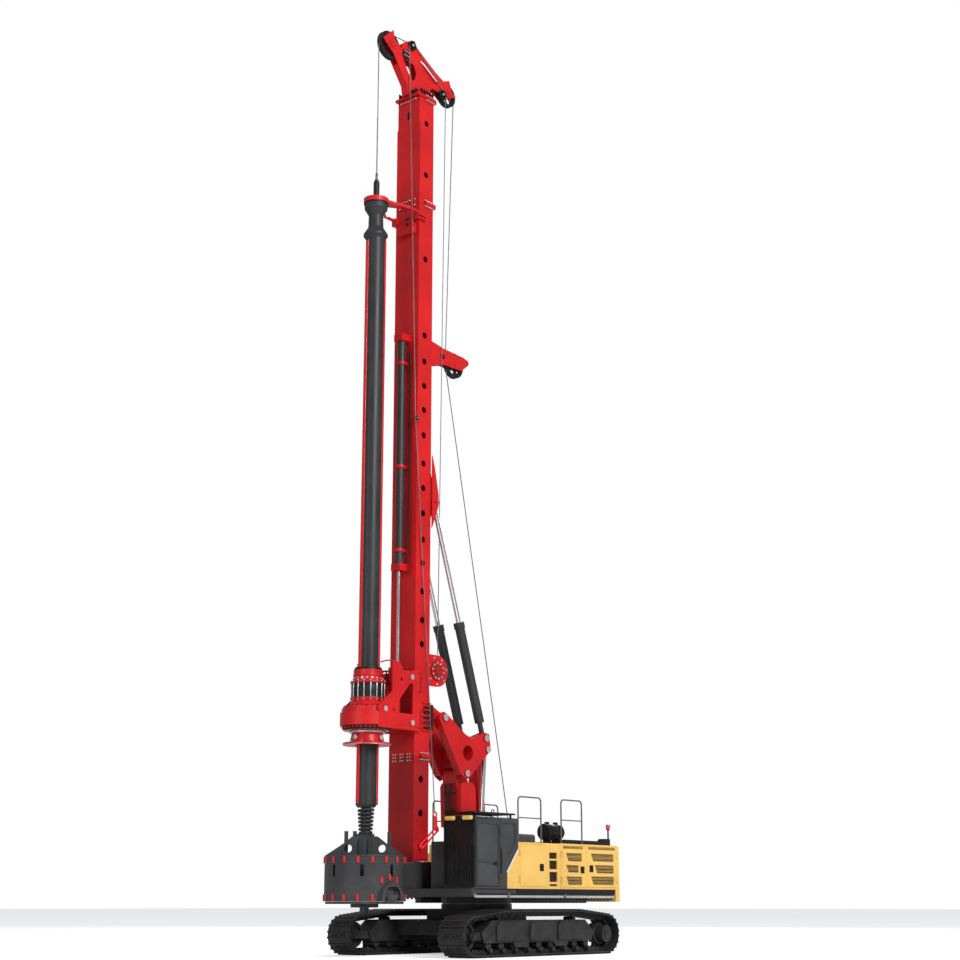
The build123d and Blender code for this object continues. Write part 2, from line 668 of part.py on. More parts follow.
def mast_middle():
    """The long middle section with its pivot bracket and the cylinder brackets at its back."""
    low, high = MAST_SPLIT_Z
    section = mast_section(low, high - SEAT_GAP, SIDE_HOLES_Z[1])
    section += mast_flange((low, low + FLANGE_THICK)) + mast_flange((high - FLANGE_THICK, high - SEAT_GAP))
    for z in range(5400, 6101, 170):
        ribs = block((MAST_BACK - 30, MAST_BACK + 260), (-MAST_HALF - 35, MAST_HALF + 35), (z, z + 30))
        section += ribs - block((MAST_BACK + MAST_WALL, MAST_FRONT),
                                (-MAST_HALF + MAST_WALL, MAST_HALF - MAST_WALL), (z - 1, z + 31))
    bracket = [(MAST_BACK, 6250), (2160, 6150), (1640, 5900), (1620, 5700), (1760, 5600), (2060, 5300),
               (2200, 4860), (MAST_BACK, 4840)]
    for side in (1, -1):
        wall = sorted((side * 150, side * 235))
        section += slab_xz(bracket, wall)
        fin = [(MAST_BACK, 12530), (2200, 12200), (2050, 11500), (2060, 11200), (MAST_BACK, 10600)]
        for low_y, high_y in ((LINK_Y - 95, LINK_Y - 68), (LINK_Y + 13 + 55, LINK_Y + 95)):
            wall = sorted((side * low_y, side * high_y))
            section += slab_xz(fin, wall)
        pin = sorted((side * (LINK_Y - 95), side * (LINK_Y + 120)))
        section += disc_y(PIN_BACKSTAY_HEAD, BACKSTAY_PIN, pin)
        section += disc_y(PIN_BACKSTAY_HEAD, 120, sorted((side * (LINK_Y - 95), side * (LINK_Y - 68))))
        section += disc_y(PIN_BACKSTAY_HEAD, 120, sorted((side * (LINK_Y + 68), side * (LINK_Y + 95))))
    section -= disc_y(PIN_MAST, PIN_RADIUS + PIN_FIT, (-400, 400))
    for low_z, high_z in ((CROWD_Z[0] - 30, CROWD_Z[0] + 150), (CROWD_Z[1] - 20, CROWD_Z[1] + 160)):
        section += block((MAST_FRONT - 10, CROWD_X + 140), (-150, 150), (low_z, high_z))
    section -= disc_z(CROWD_X, 0, CROWD_BARREL + SEAT_GAP, (CROWD_Z[0] - 50, CROWD_Z[1]))
    half, (box_low, box_high) = ROPE_BOX_HALF, ROPE_BOX_Z
    front = [(-half, box_low), (half, box_low), (half, box_high - 160), (half - 130, box_high),
             (-half + 130, box_high), (-half, box_high - 160)]
    section += slab_yz(front, (MAST_FRONT - 5, MAST_FRONT + 120))
    return section + front_flange(high - SEAT_GAP, False) + aux_winch_frame()


def crowd_barrel():
    """The crowd cylinder's barrel on the front of the mast, open at the bottom for its rod."""
    barrel = disc_z(CROWD_X, 0, CROWD_BARREL, CROWD_Z)
    barrel += disc_z(CROWD_X, 0, CROWD_BARREL + 18, (CROWD_Z[0] + 151, CROWD_Z[0] + 260))
    return barrel - disc_z(CROWD_X, 0, CROWD_BORE, (CROWD_Z[0] - 1, CROWD_Z[1] - 120))


def mast_upper():
    """The top section, where the guide rails end."""
    low, high = MAST_SPLIT_Z[1], MAST_TOP_Z
    section = mast_section(low, high - SEAT_GAP, SIDE_HOLES_Z[2], RAIL_TOP)
    section += mast_flange((low, low + FLANGE_THICK)) + mast_flange((high - FLANGE_THICK, high - SEAT_GAP))
    return section + front_flange(low, True)


def rope_guide():
    """The bracket behind the mast that carries the rope guide sheave."""
    x, z, radius = GUIDE_SHEAVE
    arm = [(MAST_BACK - SEAT_GAP, 15900), (1500, 15750), (700, 15700), (480, 15640), (460, 15540),
           (760, 15300), (1500, 15300), (MAST_BACK - SEAT_GAP, 15050)]
    bracket = None
    for side in (1, -1):
        wall = sorted((side * GUIDE_PLATE_Y[0], side * GUIDE_PLATE_Y[1]))
        plate = slab_xz(arm, wall, ((1540, 15520, 85),))
        bracket = plate if bracket is None else bracket + plate
    bracket += block((MAST_BACK - 60, MAST_BACK - SEAT_GAP), (-150, 150), (15050, 15900))
    bracket += disc_y((520, 15590), 30, (-110, 110))
    return bracket + disc_y((x, z), 40, (-110, 110))


def sheave(at, spokes=0):
    """A grooved rope sheave about a pin, with lightening holes or spokes."""
    x, z, radius = at
    half = SHEAVE_WIDTH / 2
    bore = 40 + PIN_FIT
    web = 14
    profile = [(bore, -half), (95, -half), (95, -web), (radius - 85, -web), (radius - 85, -half),
               (radius, -half), (radius - SHEAVE_GROOVE, -14), (radius - SHEAVE_GROOVE, 14),
               (radius, half), (radius - 85, half), (radius - 85, web), (95, web), (95, half),
               (bore, half)]
    wheel = revolve(make_face(Polyline(*profile, close=True)), Axis.Y)
    count = spokes or 6
    pitch = (radius - 85 + 95) / 2
    hole = min((radius - 85 - 95) / 2 * 0.8, pitch * math.pi / count * 0.8)
    if radius > 250:
        for i in range(count):
            angle = 2 * math.pi * i / count
            spot = (pitch * math.cos(angle), pitch * math.sin(angle))
            wheel -= disc_y(spot, hole, (-half, half))
    return Pos(x, 0, z) * wheel


def small_sheave(at):
    """A small solid sheave about its pin."""
    x, z, radius = at
    half = SHEAVE_WIDTH / 2
    profile = [(30 + PIN_FIT, -half), (radius, -half), (radius - 35, 0), (radius, half), (30 + PIN_FIT, half)]
    return Pos(x, 0, z) * revolve(make_face(Polyline(*profile, close=True)), Axis.Y)


def mast_head():
    """The leaning head: two tall side plates with a window and a long slot, a front plate, a
    base flange, and the sheave pins."""
    outline = [(4040, 23980), (3960, 24070), (3640, 24370), (3600, 24120), (3310, 23950),
               (3240, 24160), (3090, 24260), (2780, 24400), (2750, 24260), (1850, 23750),
               (1620, 23640), (1340, 23770), (1210, 23420), (1030, 23380), (1540, 23120),
               (1810, 23250), (2070, 23260), (2240, 22960), (2240, 22680), (3050, 22680), (3090, 22950),
               (3620, 23660)]
    window = [(3330, 23800), (3050, 23350), (2880, 23150), (2780, 23200), (2710, 23430), (2810, 23650),
              (3110, 23690)]
    slot = [(2560, 23950), (2330, 23860), (1830, 23560), (1890, 23420), (2280, 23440), (2400, 23560),
            (2500, 23760)]
    head = None
    for side in (1, -1):
        wall = sorted((side * (HEAD_HALF - HEAD_PLATE), side * HEAD_HALF))
        plate = slab_xz(outline, wall)
        plate -= rounded_xz(window, 55, (wall[0] - 1, wall[1] + 1))
        plate -= rounded_xz(slot, 40, (wall[0] - 1, wall[1] + 1))
        head = plate if head is None else head + plate
    inside = (-HEAD_HALF, HEAD_HALF)
    head += slab_xz([(3050, 22680), (3090, 22950), (3450, 23430), (3425, 23450), (3065, 22975),
                     (3020, 22680)], inside)
    head += block((2230, 2970), (-MAST_HALF - 35, MAST_HALF + 35), (MAST_TOP_Z, MAST_TOP_Z + 70))
    for y in (-350, -230, 230, 350):
        rib = [(2260, MAST_TOP_Z + 60), (2940, MAST_TOP_Z + 60), (2800, 22860), (2400, 22860)]
        head += slab_xz(rib, (y - 12, y + 12))
    head += block((2330, 2870), (-360, 360), (MAST_TOP_Z + 60, 22830))
    web = [(2700, 24060), (2250, 23860), (1760, 23590), (1800, 23370), (2320, 23390), (2620, 23700)]
    head += slab_xz(web, (-12, 12)) + disc_y((2640, 23960), 45, inside) + disc_y((1800, 23370), 40, inside)
    for at in (SHEAVE_FRONT, SHEAVE_REAR):
        head += disc_y(at[:2], 40, (-HEAD_HALF - 25, HEAD_HALF + 25))
    return head + disc_y(SHEAVE_AUX[:2], 30, (-HEAD_HALF - 25, HEAD_HALF + 25))


def aux_winch_frame():
    """Two round cheek plates on the back of the mast that carry the auxiliary winch."""
    x, z = AUX_WINCH
    frame = disc_y(AUX_WINCH, PIN_RADIUS, (-390, 390))
    for side in (1, -1):
        wall = sorted((side * 325, side * 365))
        frame += disc_y(AUX_WINCH, 400, wall) + block((x, MAST_BACK + 5), wall, (z - 400, z + 400))
    return frame - block((MAST_BACK + 5, MAST_BACK + 900), (-400, 400), (z - 500, z + 500))


def drum(at, radius, flange, half, bore):
    """A rope drum between two flanges about a fixed pin."""
    profile = [(bore + PIN_FIT, -half), (flange, -half), (flange, -half + 30), (radius, -half + 30),
               (radius, half - 30), (flange, half - 30), (flange, half), (bore + PIN_FIT, half)]
    return Pos(at[0], 0, at[1]) * revolve(make_face(Polyline(*profile, close=True)), Axis.Y)


def winch_frame(at, foot_z, half):
    """Two upright cheeks with a pin, standing on the deck."""
    frame = None
    for side in (1, -1):
        wall = sorted((side * (half + 20), side * (half + 60)))
        cheek = slab_xz([(at[0] - 420, foot_z), (at[0] + 420, foot_z), (at[0] + 200, at[1] + 180),
                         (at[0] - 200, at[1] + 180)], wall)
        frame = cheek if frame is None else frame + cheek
    return frame + disc_y(at, 60, (-half - 80, half + 80))


def carriage():
    """The crowd carriage: shoes that hold the rails from both sides, a back plate, and the cradle
    plates with their triangular windows that carry the rotary drive."""
    back = MAST_FRONT + CARRIAGE_BACK
    low, high = CARRIAGE_Z
    body = block((back, back + 60), (-CARRIAGE_OUT, CARRIAGE_OUT), (low, high))
    body += block((back, CROWD_X + 130), (-200, 200), (6600, CROWD_ROD_Z[0]))
    outline = [(back, low), (CRADLE_END, low), (CRADLE_END, DRIVE_Z[1] + 15), (4387, 5828), (3885, 6240),
               (3885, 6950),
               (3780, 6995), (3610, 6957), (3510, 6800), (3206, 6800), (3040, high), (back, high)]
    window = [(3240, 6500), (3147, 6480), (3147, 5740), (3745, 5740), (3896, 5770), (3810, 5870)]
    for side in (1, -1):
        wall = sorted((side * (CARRIAGE_OUT - CARRIAGE_PLATE), side * CARRIAGE_OUT))
        body += slab_xz(outline, wall, ((3570, 6560, 45),)) - slab_xz(window, (wall[0] - 1, wall[1] + 1))
        cheek = sorted((side * CARRIAGE_IN, side * (CARRIAGE_IN + 38)))
        body += block((MAST_FRONT - RAIL_DEPTH - 76, back + 10), cheek, (low, high))
        hook = sorted((side * (MAST_HALF + 5), side * (CARRIAGE_IN + 2)))
        front_pad = sorted((side * (MAST_HALF - 80), side * (MAST_HALF + RAIL_OUT)))
        for z in ((low + 60, low + 560), (high - 560, high - 60)):
            body += block((MAST_FRONT - RAIL_DEPTH - 76, MAST_FRONT - RAIL_DEPTH - PAD_FIT), hook, z)
            body += block((MAST_FRONT + PAD_FIT, back + 10), front_pad, z)
        for x, z in CRADLE_PINS:
            body += disc_y((x, z), 65, sorted((side * (CARRIAGE_OUT - 5), side * (CARRIAGE_OUT + 22))))
    return body


def crowd_rod():
    """The crowd cylinder's rod, standing on the carriage."""
    foot, top = CROWD_ROD_Z[0] + SEAT_GAP, CROWD_ROD_Z[1]
    return disc_z(CROWD_X, 0, CROWD_ROD, (foot, top)) + disc_z(CROWD_X, 0, CROWD_ROD + 25, (foot, foot + 80))


def rotary_drive():
    """The rotary drive: a gearbox with a round nose between the cradle plates, a flanged cone, a
    damper stage with its rods, a top collar and two motors."""
    low, high = DRIVE_Z
    bell = SPIGOT_RADIUS + PAD_FIT
    # radius, z of the outer outline from the bottom up
    outline = [(bell, low), (DRIVE_RADIUS, low), (DRIVE_RADIUS, high), (DRIVE_RADIUS - 60, high + 10),
               (DRIVE_RADIUS - 60, 5860), (480, 5890), (400, 6010), (395, 6090), (330, 6090), (330, 6440),
               (395, 6440), (395, 6480), (360, 6500), (360, 6760), (340, 6780), (DRIVE_BORE, 6780),
               (DRIVE_BORE, low + SPIGOT_LENGTH), (bell, low + SPIGOT_LENGTH)]
    half = CARRIAGE_OUT - CARRIAGE_PLATE - SEAT_GAP
    body = turned(outline, KELLY_X)
    for side in (1, -1):
        beyond = sorted((side * half, side * 1000))
        body -= block((3000, CRADLE_END + SEAT_GAP), beyond, (low - 10, 6050))
    for i in range(16):
        angle = 2 * math.pi * (i + 0.5) / 16
        body += disc_z(KELLY_X + 365 * math.cos(angle), 365 * math.sin(angle), 16, (6085, 6445))
    rear = MAST_FRONT + CARRIAGE_BACK + 60 + SEAT_GAP
    body += block((rear, KELLY_X), (-half, half), (low, high)) - disc_z(KELLY_X, 0, bell, (low - 1, high + 1))
    for y in (-300, 300):
        body += disc_z(3450, y, 125, (high - 10, 6350)) + disc_z(3450, y, 85, (6340, 6480))
    return body


def drive_adapter():
    """The turning output: a spigot in the gearbox, the bolt ring, the bright ring, the cone with
    its four pins and the casing plate with its bolt circle."""
    low = DRIVE_Z[0]
    profile = [(DRIVE_BORE, 4950), (590, 4950), (590, 5000), (420, 5035), (385, 5200), (385, 5290),
               (560, 5300), (560, low - 10), (SPIGOT_RADIUS, low - 10),
               (SPIGOT_RADIUS, low + SPIGOT_LENGTH - 2),
               (DRIVE_BORE, low + SPIGOT_LENGTH - 2)]
    body = turned(profile, KELLY_X)
    for i in range(4):
        turn = 4 + 90 * i
        body += Pos(KELLY_X, 0, 5120) * Rot(0, 0, turn) * Pos(375, 0, 0) * Rot(0, 90, 0) * Cylinder(50, 140)
    for i in range(CASING_BOLTS):
        angle = 2 * math.pi * (i + 0.5) / CASING_BOLTS
        spot = (KELLY_X + CASING_PCD / 2 * math.cos(angle), CASING_PCD / 2 * math.sin(angle))
        body -= disc_z(*spot, CASING_HOLE, (4900, 5100))
    return body


def kelly_guide():
    """The guide at the kelly's head: a plate ring with two arms to shoes that hold the rails."""
    low, high = GUIDE_Z
    out, into = CARRIAGE_IN + 50, CARRIAGE_IN
    rear = MAST_FRONT - RAIL_DEPTH - 120
    plan = [(KELLY_X - 50, 300), (3300, out), (rear, out), (rear, into), (3200, into), (3850, 0),
            (3200, -into), (rear, -into), (rear, -out), (3300, -out), (KELLY_X - 50, -300)]
    body = disc_z(KELLY_X, 0, 330, (high - 120, high)) + slab_xy(plan, (high - 120, high - 50))
    back = MAST_FRONT + CARRIAGE_BACK
    for side in (1, -1):
        cheek = sorted((side * into, side * out))
        body += block((rear, back + 100), cheek, (low, high - 60))
        hook = sorted((side * (MAST_HALF + 5), side * (into + 2)))
        body += block((rear, MAST_FRONT - RAIL_DEPTH - PAD_FIT), hook, (low, high - 60))
        front_pad = sorted((side * (MAST_HALF - 60), side * (into + 2)))
        body += block((MAST_FRONT + PAD_FIT, back + 100), front_pad, (low, high - 60))
    return body - disc_z(KELLY_X, 0, SWIVEL_RADIUS + SEAT_GAP, (low, high + 10))


def kelly_swivel():
    """The rope swivel that stands through the guide and reaches into the kelly's head."""
    profile = [(0, 19000), (SWIVEL_RADIUS, 19000), (SWIVEL_RADIUS, 19720), (40, 19800), (0, 19800)]
    return turned(profile, KELLY_X)


def kelly_bar():
    """The outer kelly tube with its three drive keys, spool head, spring and tool stub."""
    head = [(0, 18060), (230, 18060), (320, 18180), (320, 18230), (200, 18420), (190, 18760),
            (305, 18950), (305, 19100), (SWIVEL_RADIUS + PAD_FIT, 19100), (SWIVEL_RADIUS + PAD_FIT, 18990),
            (0, 18990)]
    body = turned(head, KELLY_X) + disc_z(KELLY_X, 0, KELLY_RADIUS, (KELLY_BOTTOM, KELLY_TOP - 100))
    for angle in KELLY_KEY_ANGLES:
        length = KELLY_TOP - 150 - KELLY_BOTTOM
        key = Pos(KELLY_RADIUS + KELLY_KEY / 2 - 5, 0, KELLY_BOTTOM + length / 2)
        body += Pos(KELLY_X, 0, 0) * Rot(0, 0, angle) * key * Box(KELLY_KEY + 10, KELLY_KEY_WIDTH, length)
    body += disc_z(KELLY_X, 0, 118, (2820, KELLY_BOTTOM))
    body += turned([(0, KELLY_BOTTOM - 60), (215, KELLY_BOTTOM - 60), (KELLY_RADIUS, KELLY_BOTTOM + 5),
                    (0, KELLY_BOTTOM + 5)], KELLY_X)
    for i in range(SPRING_TURNS):
        out = 168 + 6 * i
        coil = turned([(110, -28), (out - 12, -28), (out, -15), (out, 15), (out - 12, 28), (110, 28)])
        body += Pos(KELLY_X, 0, 2880 + i * 88) * Rot(5, 0, BRIDGE_ANGLE) * coil
    box = Pos(KELLY_X, 0, 2600) * Rot(0, 0, BRIDGE_ANGLE) * Box(2 * STUB_HALF, 2 * STUB_HALF, 500)
    return body + box


def hinge_at(angle):
    """Turns a piece drawn with the bucket's hinge on +X to the hinge's own side."""
    return Pos(KELLY_X, 0, 0) * Rot(0, 0, angle)


def strip_places():
    """Angle and height of each wear strip; those at the bottom climb over the hinge's hood."""
    low, high = BUCKET_Z
    places = []
    for i in range(BUCKET_STRIPS):
        turn = STRIP_ANGLE + 360 / BUCKET_STRIPS * i
        places.append((turn, high - 100))
        if abs(turn - HINGE_ANGLE) > 21:
            places.append((turn, low + 85))
    for lean, z in ((-13, HOOD_TOP + 60), (0, HOOD_TOP + 120), (13, HOOD_TOP + 60)):
        places.append((HINGE_ANGLE + lean, z))
    return places


def hinge_hood():
    """The arched hood that guards the bottom's hinge, drawn with the hinge on +X."""
    low = BUCKET_Z[0] + 10
    arch = []
    for i in range(13):
        angle = math.pi * i / 12
        arch.append((HOOD_HALF * math.cos(angle), low + (HOOD_TOP - low) * math.sin(angle)))
    hood = slab_yz(arch, (BUCKET_RADIUS - 55, HOOD_OUT))
    pocket = slab_yz([(-235, low - 20), (235, low - 20), (205, HOOD_TOP - 170), (100, HOOD_TOP - 90),
                      (-100, HOOD_TOP - 90), (-205, HOOD_TOP - 170)], (BUCKET_RADIUS + 5, HOOD_OUT + 1))
    inside = disc_z(0, 0, BUCKET_RADIUS - 5, (low - 50, HOOD_TOP + 50))
    return hood - pocket - inside


def bucket():
    """The drilling bucket: an open barrel with slots, wear strips round both rims, a bridge over
    its mouth with the socket for the kelly's stub, and the hinge lugs of its bottom."""
    low, high = BUCKET_Z
    barrel = disc_z(0, 0, BUCKET_RADIUS, (low, high))
    barrel -= disc_z(0, 0, BUCKET_RADIUS - BUCKET_WALL, (low - 1, high + 1))
    for i in range(BUCKET_SLOTS):
        slot = Pos(BUCKET_RADIUS, 0, high - 350) * Box(200, 90, 270)
        barrel -= Rot(0, 0, SLOT_ANGLE + 360 / BUCKET_SLOTS * i) * slot
    for turn, z in strip_places():
        barrel += Rot(0, 0, turn) * Pos(BUCKET_RADIUS + 2, 0, z) * Box(24, 55, 140)
    barrel = Pos(KELLY_X, 0, 0) * barrel
    inner = BUCKET_RADIUS - BUCKET_WALL / 2
    bridge = [(-inner, high - 120), (-inner, high), (-530, 2610), (-300, 2790), (300, 2790), (530, 2610),
              (inner, high), (inner, high - 120), (300, high - 160), (-300, high - 160)]
    socket = STUB_HALF + SEAT_GAP
    frame = None
    for side in (1, -1):
        cheek = sorted((side * socket, side * (socket + 35)))
        plate = slab_yz(bridge, cheek)
        for y in (-400, 400):
            plate -= disc_x(y, 2510, 95, (cheek[0] - 1, cheek[1] + 1))
        frame = plate if frame is None else frame + plate
        frame += block((-socket - 35, socket + 35), cheek, (high - 160, 2850))
        for y in (-110, 110):
            rib = sorted((side * (socket + 20), side * (socket + 105)))
            frame += block(rib, (y - 15, y + 15), (high - 120, 2760))
    # across the bridge, lowest and highest point of each release rod
    for y, foot, top in ((-460, 2330, 2920), (-255, 2560, 2920), (570, 2280, 2890)):
        bar = block((-socket - 5, socket + 5), (y - 40, y + 40), (foot, foot + 50))
        frame += disc_z(0, y, 48, (foot, top)) + bar
    barrel += Pos(KELLY_X, 0, 0) * Rot(0, 0, BRIDGE_ANGLE) * frame
    reach, z = HINGE
    for y in (-170, 170):
        lug = slab_xz([(BUCKET_RADIUS - 20, 1330), (reach, z - 45), (reach + 45, z), (reach, z + 60),
                       (BUCKET_RADIUS - 20, 1680)], (y - 25, y + 25))
        barrel += hinge_at(HINGE_ANGLE) * lug
    barrel += hinge_at(HINGE_ANGLE) * hinge_hood()
    return barrel + hinge_at(HINGE_ANGLE) * disc_y((reach, z), HINGE_PIN, (-220, 220))


def bucket_door():
    """The bucket's bottom: a plate with its hinge arm, cutting mouth, teeth and centre bit."""
    low = BUCKET_Z[0]
    plate = disc_z(0, 0, BUCKET_RADIUS - 30, (low - 60, low - 5))
    plate += disc_z(0, 0, 330, (1150, low - 50)) + disc_z(0, 0, 110, (1000, 1160))
    for i in range(6):
        tooth = Pos(320 - 95 * (i % 3), 0, 1120) * Rot(0, 25, 0) * Box(55, 70, 180)
        plate += Rot(0, 0, 180 * (i // 3)) * tooth
    plate = Pos(KELLY_X, 0, 0) * Rot(0, 0, BRIDGE_ANGLE) * plate
    reach, z = HINGE
    arm = [(BUCKET_RADIUS - 200, low - 60), (BUCKET_RADIUS + 60, low - 60), (reach + 45, z - 60),
           (reach + 55, z), (reach + 20, z + 45), (reach - 30, z + 40), (reach - 48, z - 20),
           (BUCKET_RADIUS + 20, low - 10), (BUCKET_RADIUS - 200, low - 10)]
    leaf = slab_xz(arm, (-138, 138)) - disc_y((reach, z), HINGE_PIN + PIN_FIT, (-300, 300))
    return plate + hinge_at(HINGE_ANGLE) * leaf


def door_knuckles(x, side, toward, heights):
    """A door's half of its hinges at x: straps and bored knuckles, the door lying towards +X or -X."""
    y = side * HINGE_Y
    depth = sorted((side * (HOUSE_HALF + 2), y))
    half = None
    for z in heights:
        tall = (z - KNUCKLE_HALF, z + KNUCKLE_HALF)
        leaf = block(sorted((x, x + toward * 60)), depth, tall) + disc_z(x, y, KNUCKLE, tall)
        leaf -= disc_z(x, y, KNUCKLE_PIN + PIN_FIT, (z - 50, z + 50))
        half = leaf if half is None else half + leaf
    return half


def wall_knuckles(x, side, toward, heights):
    """The wall's half of the same hinges: an eye over and under each knuckle and the pin."""
    y = side * HINGE_Y
    depth = sorted((side * (HOUSE_HALF - 5), y))
    half = None
    for z in heights:
        eyes = disc_z(x, y, KNUCKLE_PIN, (z - 75, z + 75))
        for low, high in ((z - 75, z - KNUCKLE_HALF - 1), (z + KNUCKLE_HALF + 1, z + 75)):
            eyes += block(sorted((x, x - toward * 60)), depth, (low, high))
            eyes += disc_z(x, y, KNUCKLE, (low, high))
        half = eyes if half is None else half + eyes
    return half


def cab_profile(inset=0):
    """Side view of the cab, whose lower rear is cut away over the deck."""
    x0, x1 = CAB_X[0] + inset, CAB_X[1] - inset
    z0, z1 = CAB_Z[0] + inset, CAB_Z[1] - inset
    cut_x, cut_low, cut_high = CAB_CUT
    return [(x1, z0), (x1, z1), (x0, z1), (x0, cut_high), (cut_x + inset, cut_low), (cut_x + inset, z0)]


def cab_windows(y):
    """Side, rear and quarter windows as cutting solids, each as deep as y[0] and y[1] say."""
    (x0, x1), (y0, y1), (out, deep) = CAB_X, CAB_Y, y
    cuts = [rounded_xz([(x, z) for x, z in QUARTER_PANE], PANE_ROUND, (y1 - deep, y1 - out))]
    cuts.append(pane_xz(SIDE_PANE[0], SIDE_PANE[1], (y0 + out, y0 + deep)))
    for x, (low, high) in (((x1 - deep, x1 - out), SCREEN_Z), ((x0 + out, x0 + deep), REAR_PANE_Z)):
        face = Pos(0, (y0 + y1) / 2, (low + high) / 2) * (
            Plane.YZ * RectangleRounded(y1 - y0 - 160, high - low, PANE_ROUND))
        cuts.append(Pos(x[0], 0, 0) * extrude(face, x[1] - x[0], dir=(1, 0, 0)))
    return cuts


def cab_shell():
    """The hollow cab with its windscreen, side, rear and quarter windows and doorway cut."""
    y0, y1 = CAB_Y
    shell = slab_xz(cab_profile(), CAB_Y)
    roof = shell.edges().filter_by(Axis.X).group_by(Axis.Z)[-1]
    front = shell.edges().filter_by(Axis.Z).group_by(Axis.X)[-1]
    shell = fillet(roof, CAB_ROUND)
    front = shell.edges().filter_by(Axis.Z).group_by(Axis.X)[-1]
    shell = fillet(front, CAB_ROUND / 2)
    shell -= slab_xz(cab_profile(CAB_WALL), (y0 + CAB_WALL, y1 - CAB_WALL))
    for cut in cab_windows((-1, 100)):
        shell -= cut
    shell -= block(DOOR_X, (y1 - 100, y1 + 1), DOOR_Z)
    return shell + wall_knuckles(DOOR_X[0], 1, 1, CAB_HINGES_Z)


def cab_glass():
    """Panes in the middle of the cab's walls, face to face with their openings."""
    middle = CAB_WALL / 2
    panes = None
    for pane in cab_windows((middle - 4, middle + 4)):
        panes = pane if panes is None else panes + pane
    return panes


def door_pane(x, z, y):
    """One of the door's panes, the lower one with its front corner cut off."""
    if z[0] > DOOR_PANES[1][1][1]:
        return pane_xz(x, z, y)
    return rounded_xz([(x[0], z[0]), (x[1] - 170, z[0]), (x[1], z[0] + 190), (x[1], z[1]), (x[0], z[1])],
                      PANE_ROUND, y)


def cab_door():
    """The glazed door leaf, which lies in its doorway from the hinge at the rear."""
    y1 = CAB_Y[1]
    leaf = block((DOOR_X[0] + DOOR_GAP, DOOR_X[1] - DOOR_GAP), (y1 - 45, y1 + 4),
                 (DOOR_Z[0] + DOOR_GAP, DOOR_Z[1] - DOOR_GAP))
    for x, z in DOOR_PANES:
        leaf -= door_pane(x, z, (y1 - 60, y1 + 10))
    return leaf + door_knuckles(DOOR_X[0], 1, 1, CAB_HINGES_Z)


def cab_door_glass():
    """The door's two panes in the middle of its leaf."""
    y = (CAB_Y[1] - 24, CAB_Y[1] - 16)
    return door_pane(*DOOR_PANES[0], y) + door_pane(*DOOR_PANES[1], y)


def cab_seat():
    """The operator's seat on its base, the side console and the control stand."""
    floor = CAB_Z[0] + CAB_WALL
    seat = block((600 + 80, 1120), (760, 1240), (floor, floor + 330))
    seat += block((700, 1150), (760, 1240), (floor + 320, floor + 440))
    seat += block((680, 800), (760, 1240), (floor + 430, floor + 1100))
    seat += block((720, 1180), (640, 740), (floor, floor + 560))
    return seat + block((1420, 1620), (900, 1100), (floor, floor + 620))


def cab_guard():
    """The bar grille before the windscreen, and apart from it the frame over the roof."""
    x, (y0, y1), (z0, z1) = CAB_X[1] + SEAT_GAP, CAB_Y, CAB_Z
    front = block((x, x + 50), (y0, y1), (z0 + 60, z1))
    front -= block((x - 1, x + 51), (y0 + 50, y1 - 50), (z0 + 110, z1 - 50))
    for i in range(10):
        y = y0 + 110 + i * (y1 - y0 - 220) / 9
        front += block((x + 14, x + 36), (y - 12, y + 12), (z0 + 100, z1 - 40))
    low, rear, nose = z1 + ROOF_GUARD, CAB_X[0] + 60, x + 50
    roof = block((rear, nose), (y0 + 30, y1 - 30), (low, low + 40))
    roof -= block((rear + 40, nose - 40), (y0 + 70, y1 - 70), (low - 1, low + 41))
    for i in range(GUARD_BARS):
        spot = rear + (i + 1) * (nose - rear) / (GUARD_BARS + 1)
        roof += block((spot - 8, spot + 8), (y0 + 60, y1 - 60), (low + 8, low + 32))
    for spot in (rear + 60, (rear + nose) / 2, nose - 160):
        for y, rim in ((y0 + 110, y0 + 50), (y1 - 150, y1 - 50)):
            roof += block((spot, spot + 40), (y, y + 40), (z1 + SEAT_GAP, low + 10))
            roof += block((spot, spot + 40), sorted((y, rim)), (low + 5, low + 35))
    front += block((x, x + 50), (y0 + 100, y0 + 160), (z1 - 60, low - SEAT_GAP))
    front += block((x, x + 50), (y1 - 160, y1 - 100), (z1 - 60, low - SEAT_GAP))
    return Compound(children=front.solids() + roof.solids())


def work_lamps():
    """Two flat lamps on brackets under the front of the roof guard."""
    deep, wide, tall = LAMP_SIZE
    lamps = None
    for x, y in LAMP_SPOTS:
        z = CAB_Z[1] - tall / 2 - 5
        lamp = block((x, x + deep), (y - wide / 2, y + wide / 2), (z - tall / 2, z + tall / 2))
        lamp = fillet(lamp.edges().filter_by(Axis.X), 28)
        seat = CAB_X[1] + 50 + 2 * SEAT_GAP
        lamp += block((seat, x + 5), (y - 25, y + 25), (z - 15, z + 15))
        lamps = lamp if lamps is None else lamps + lamp
    return lamps


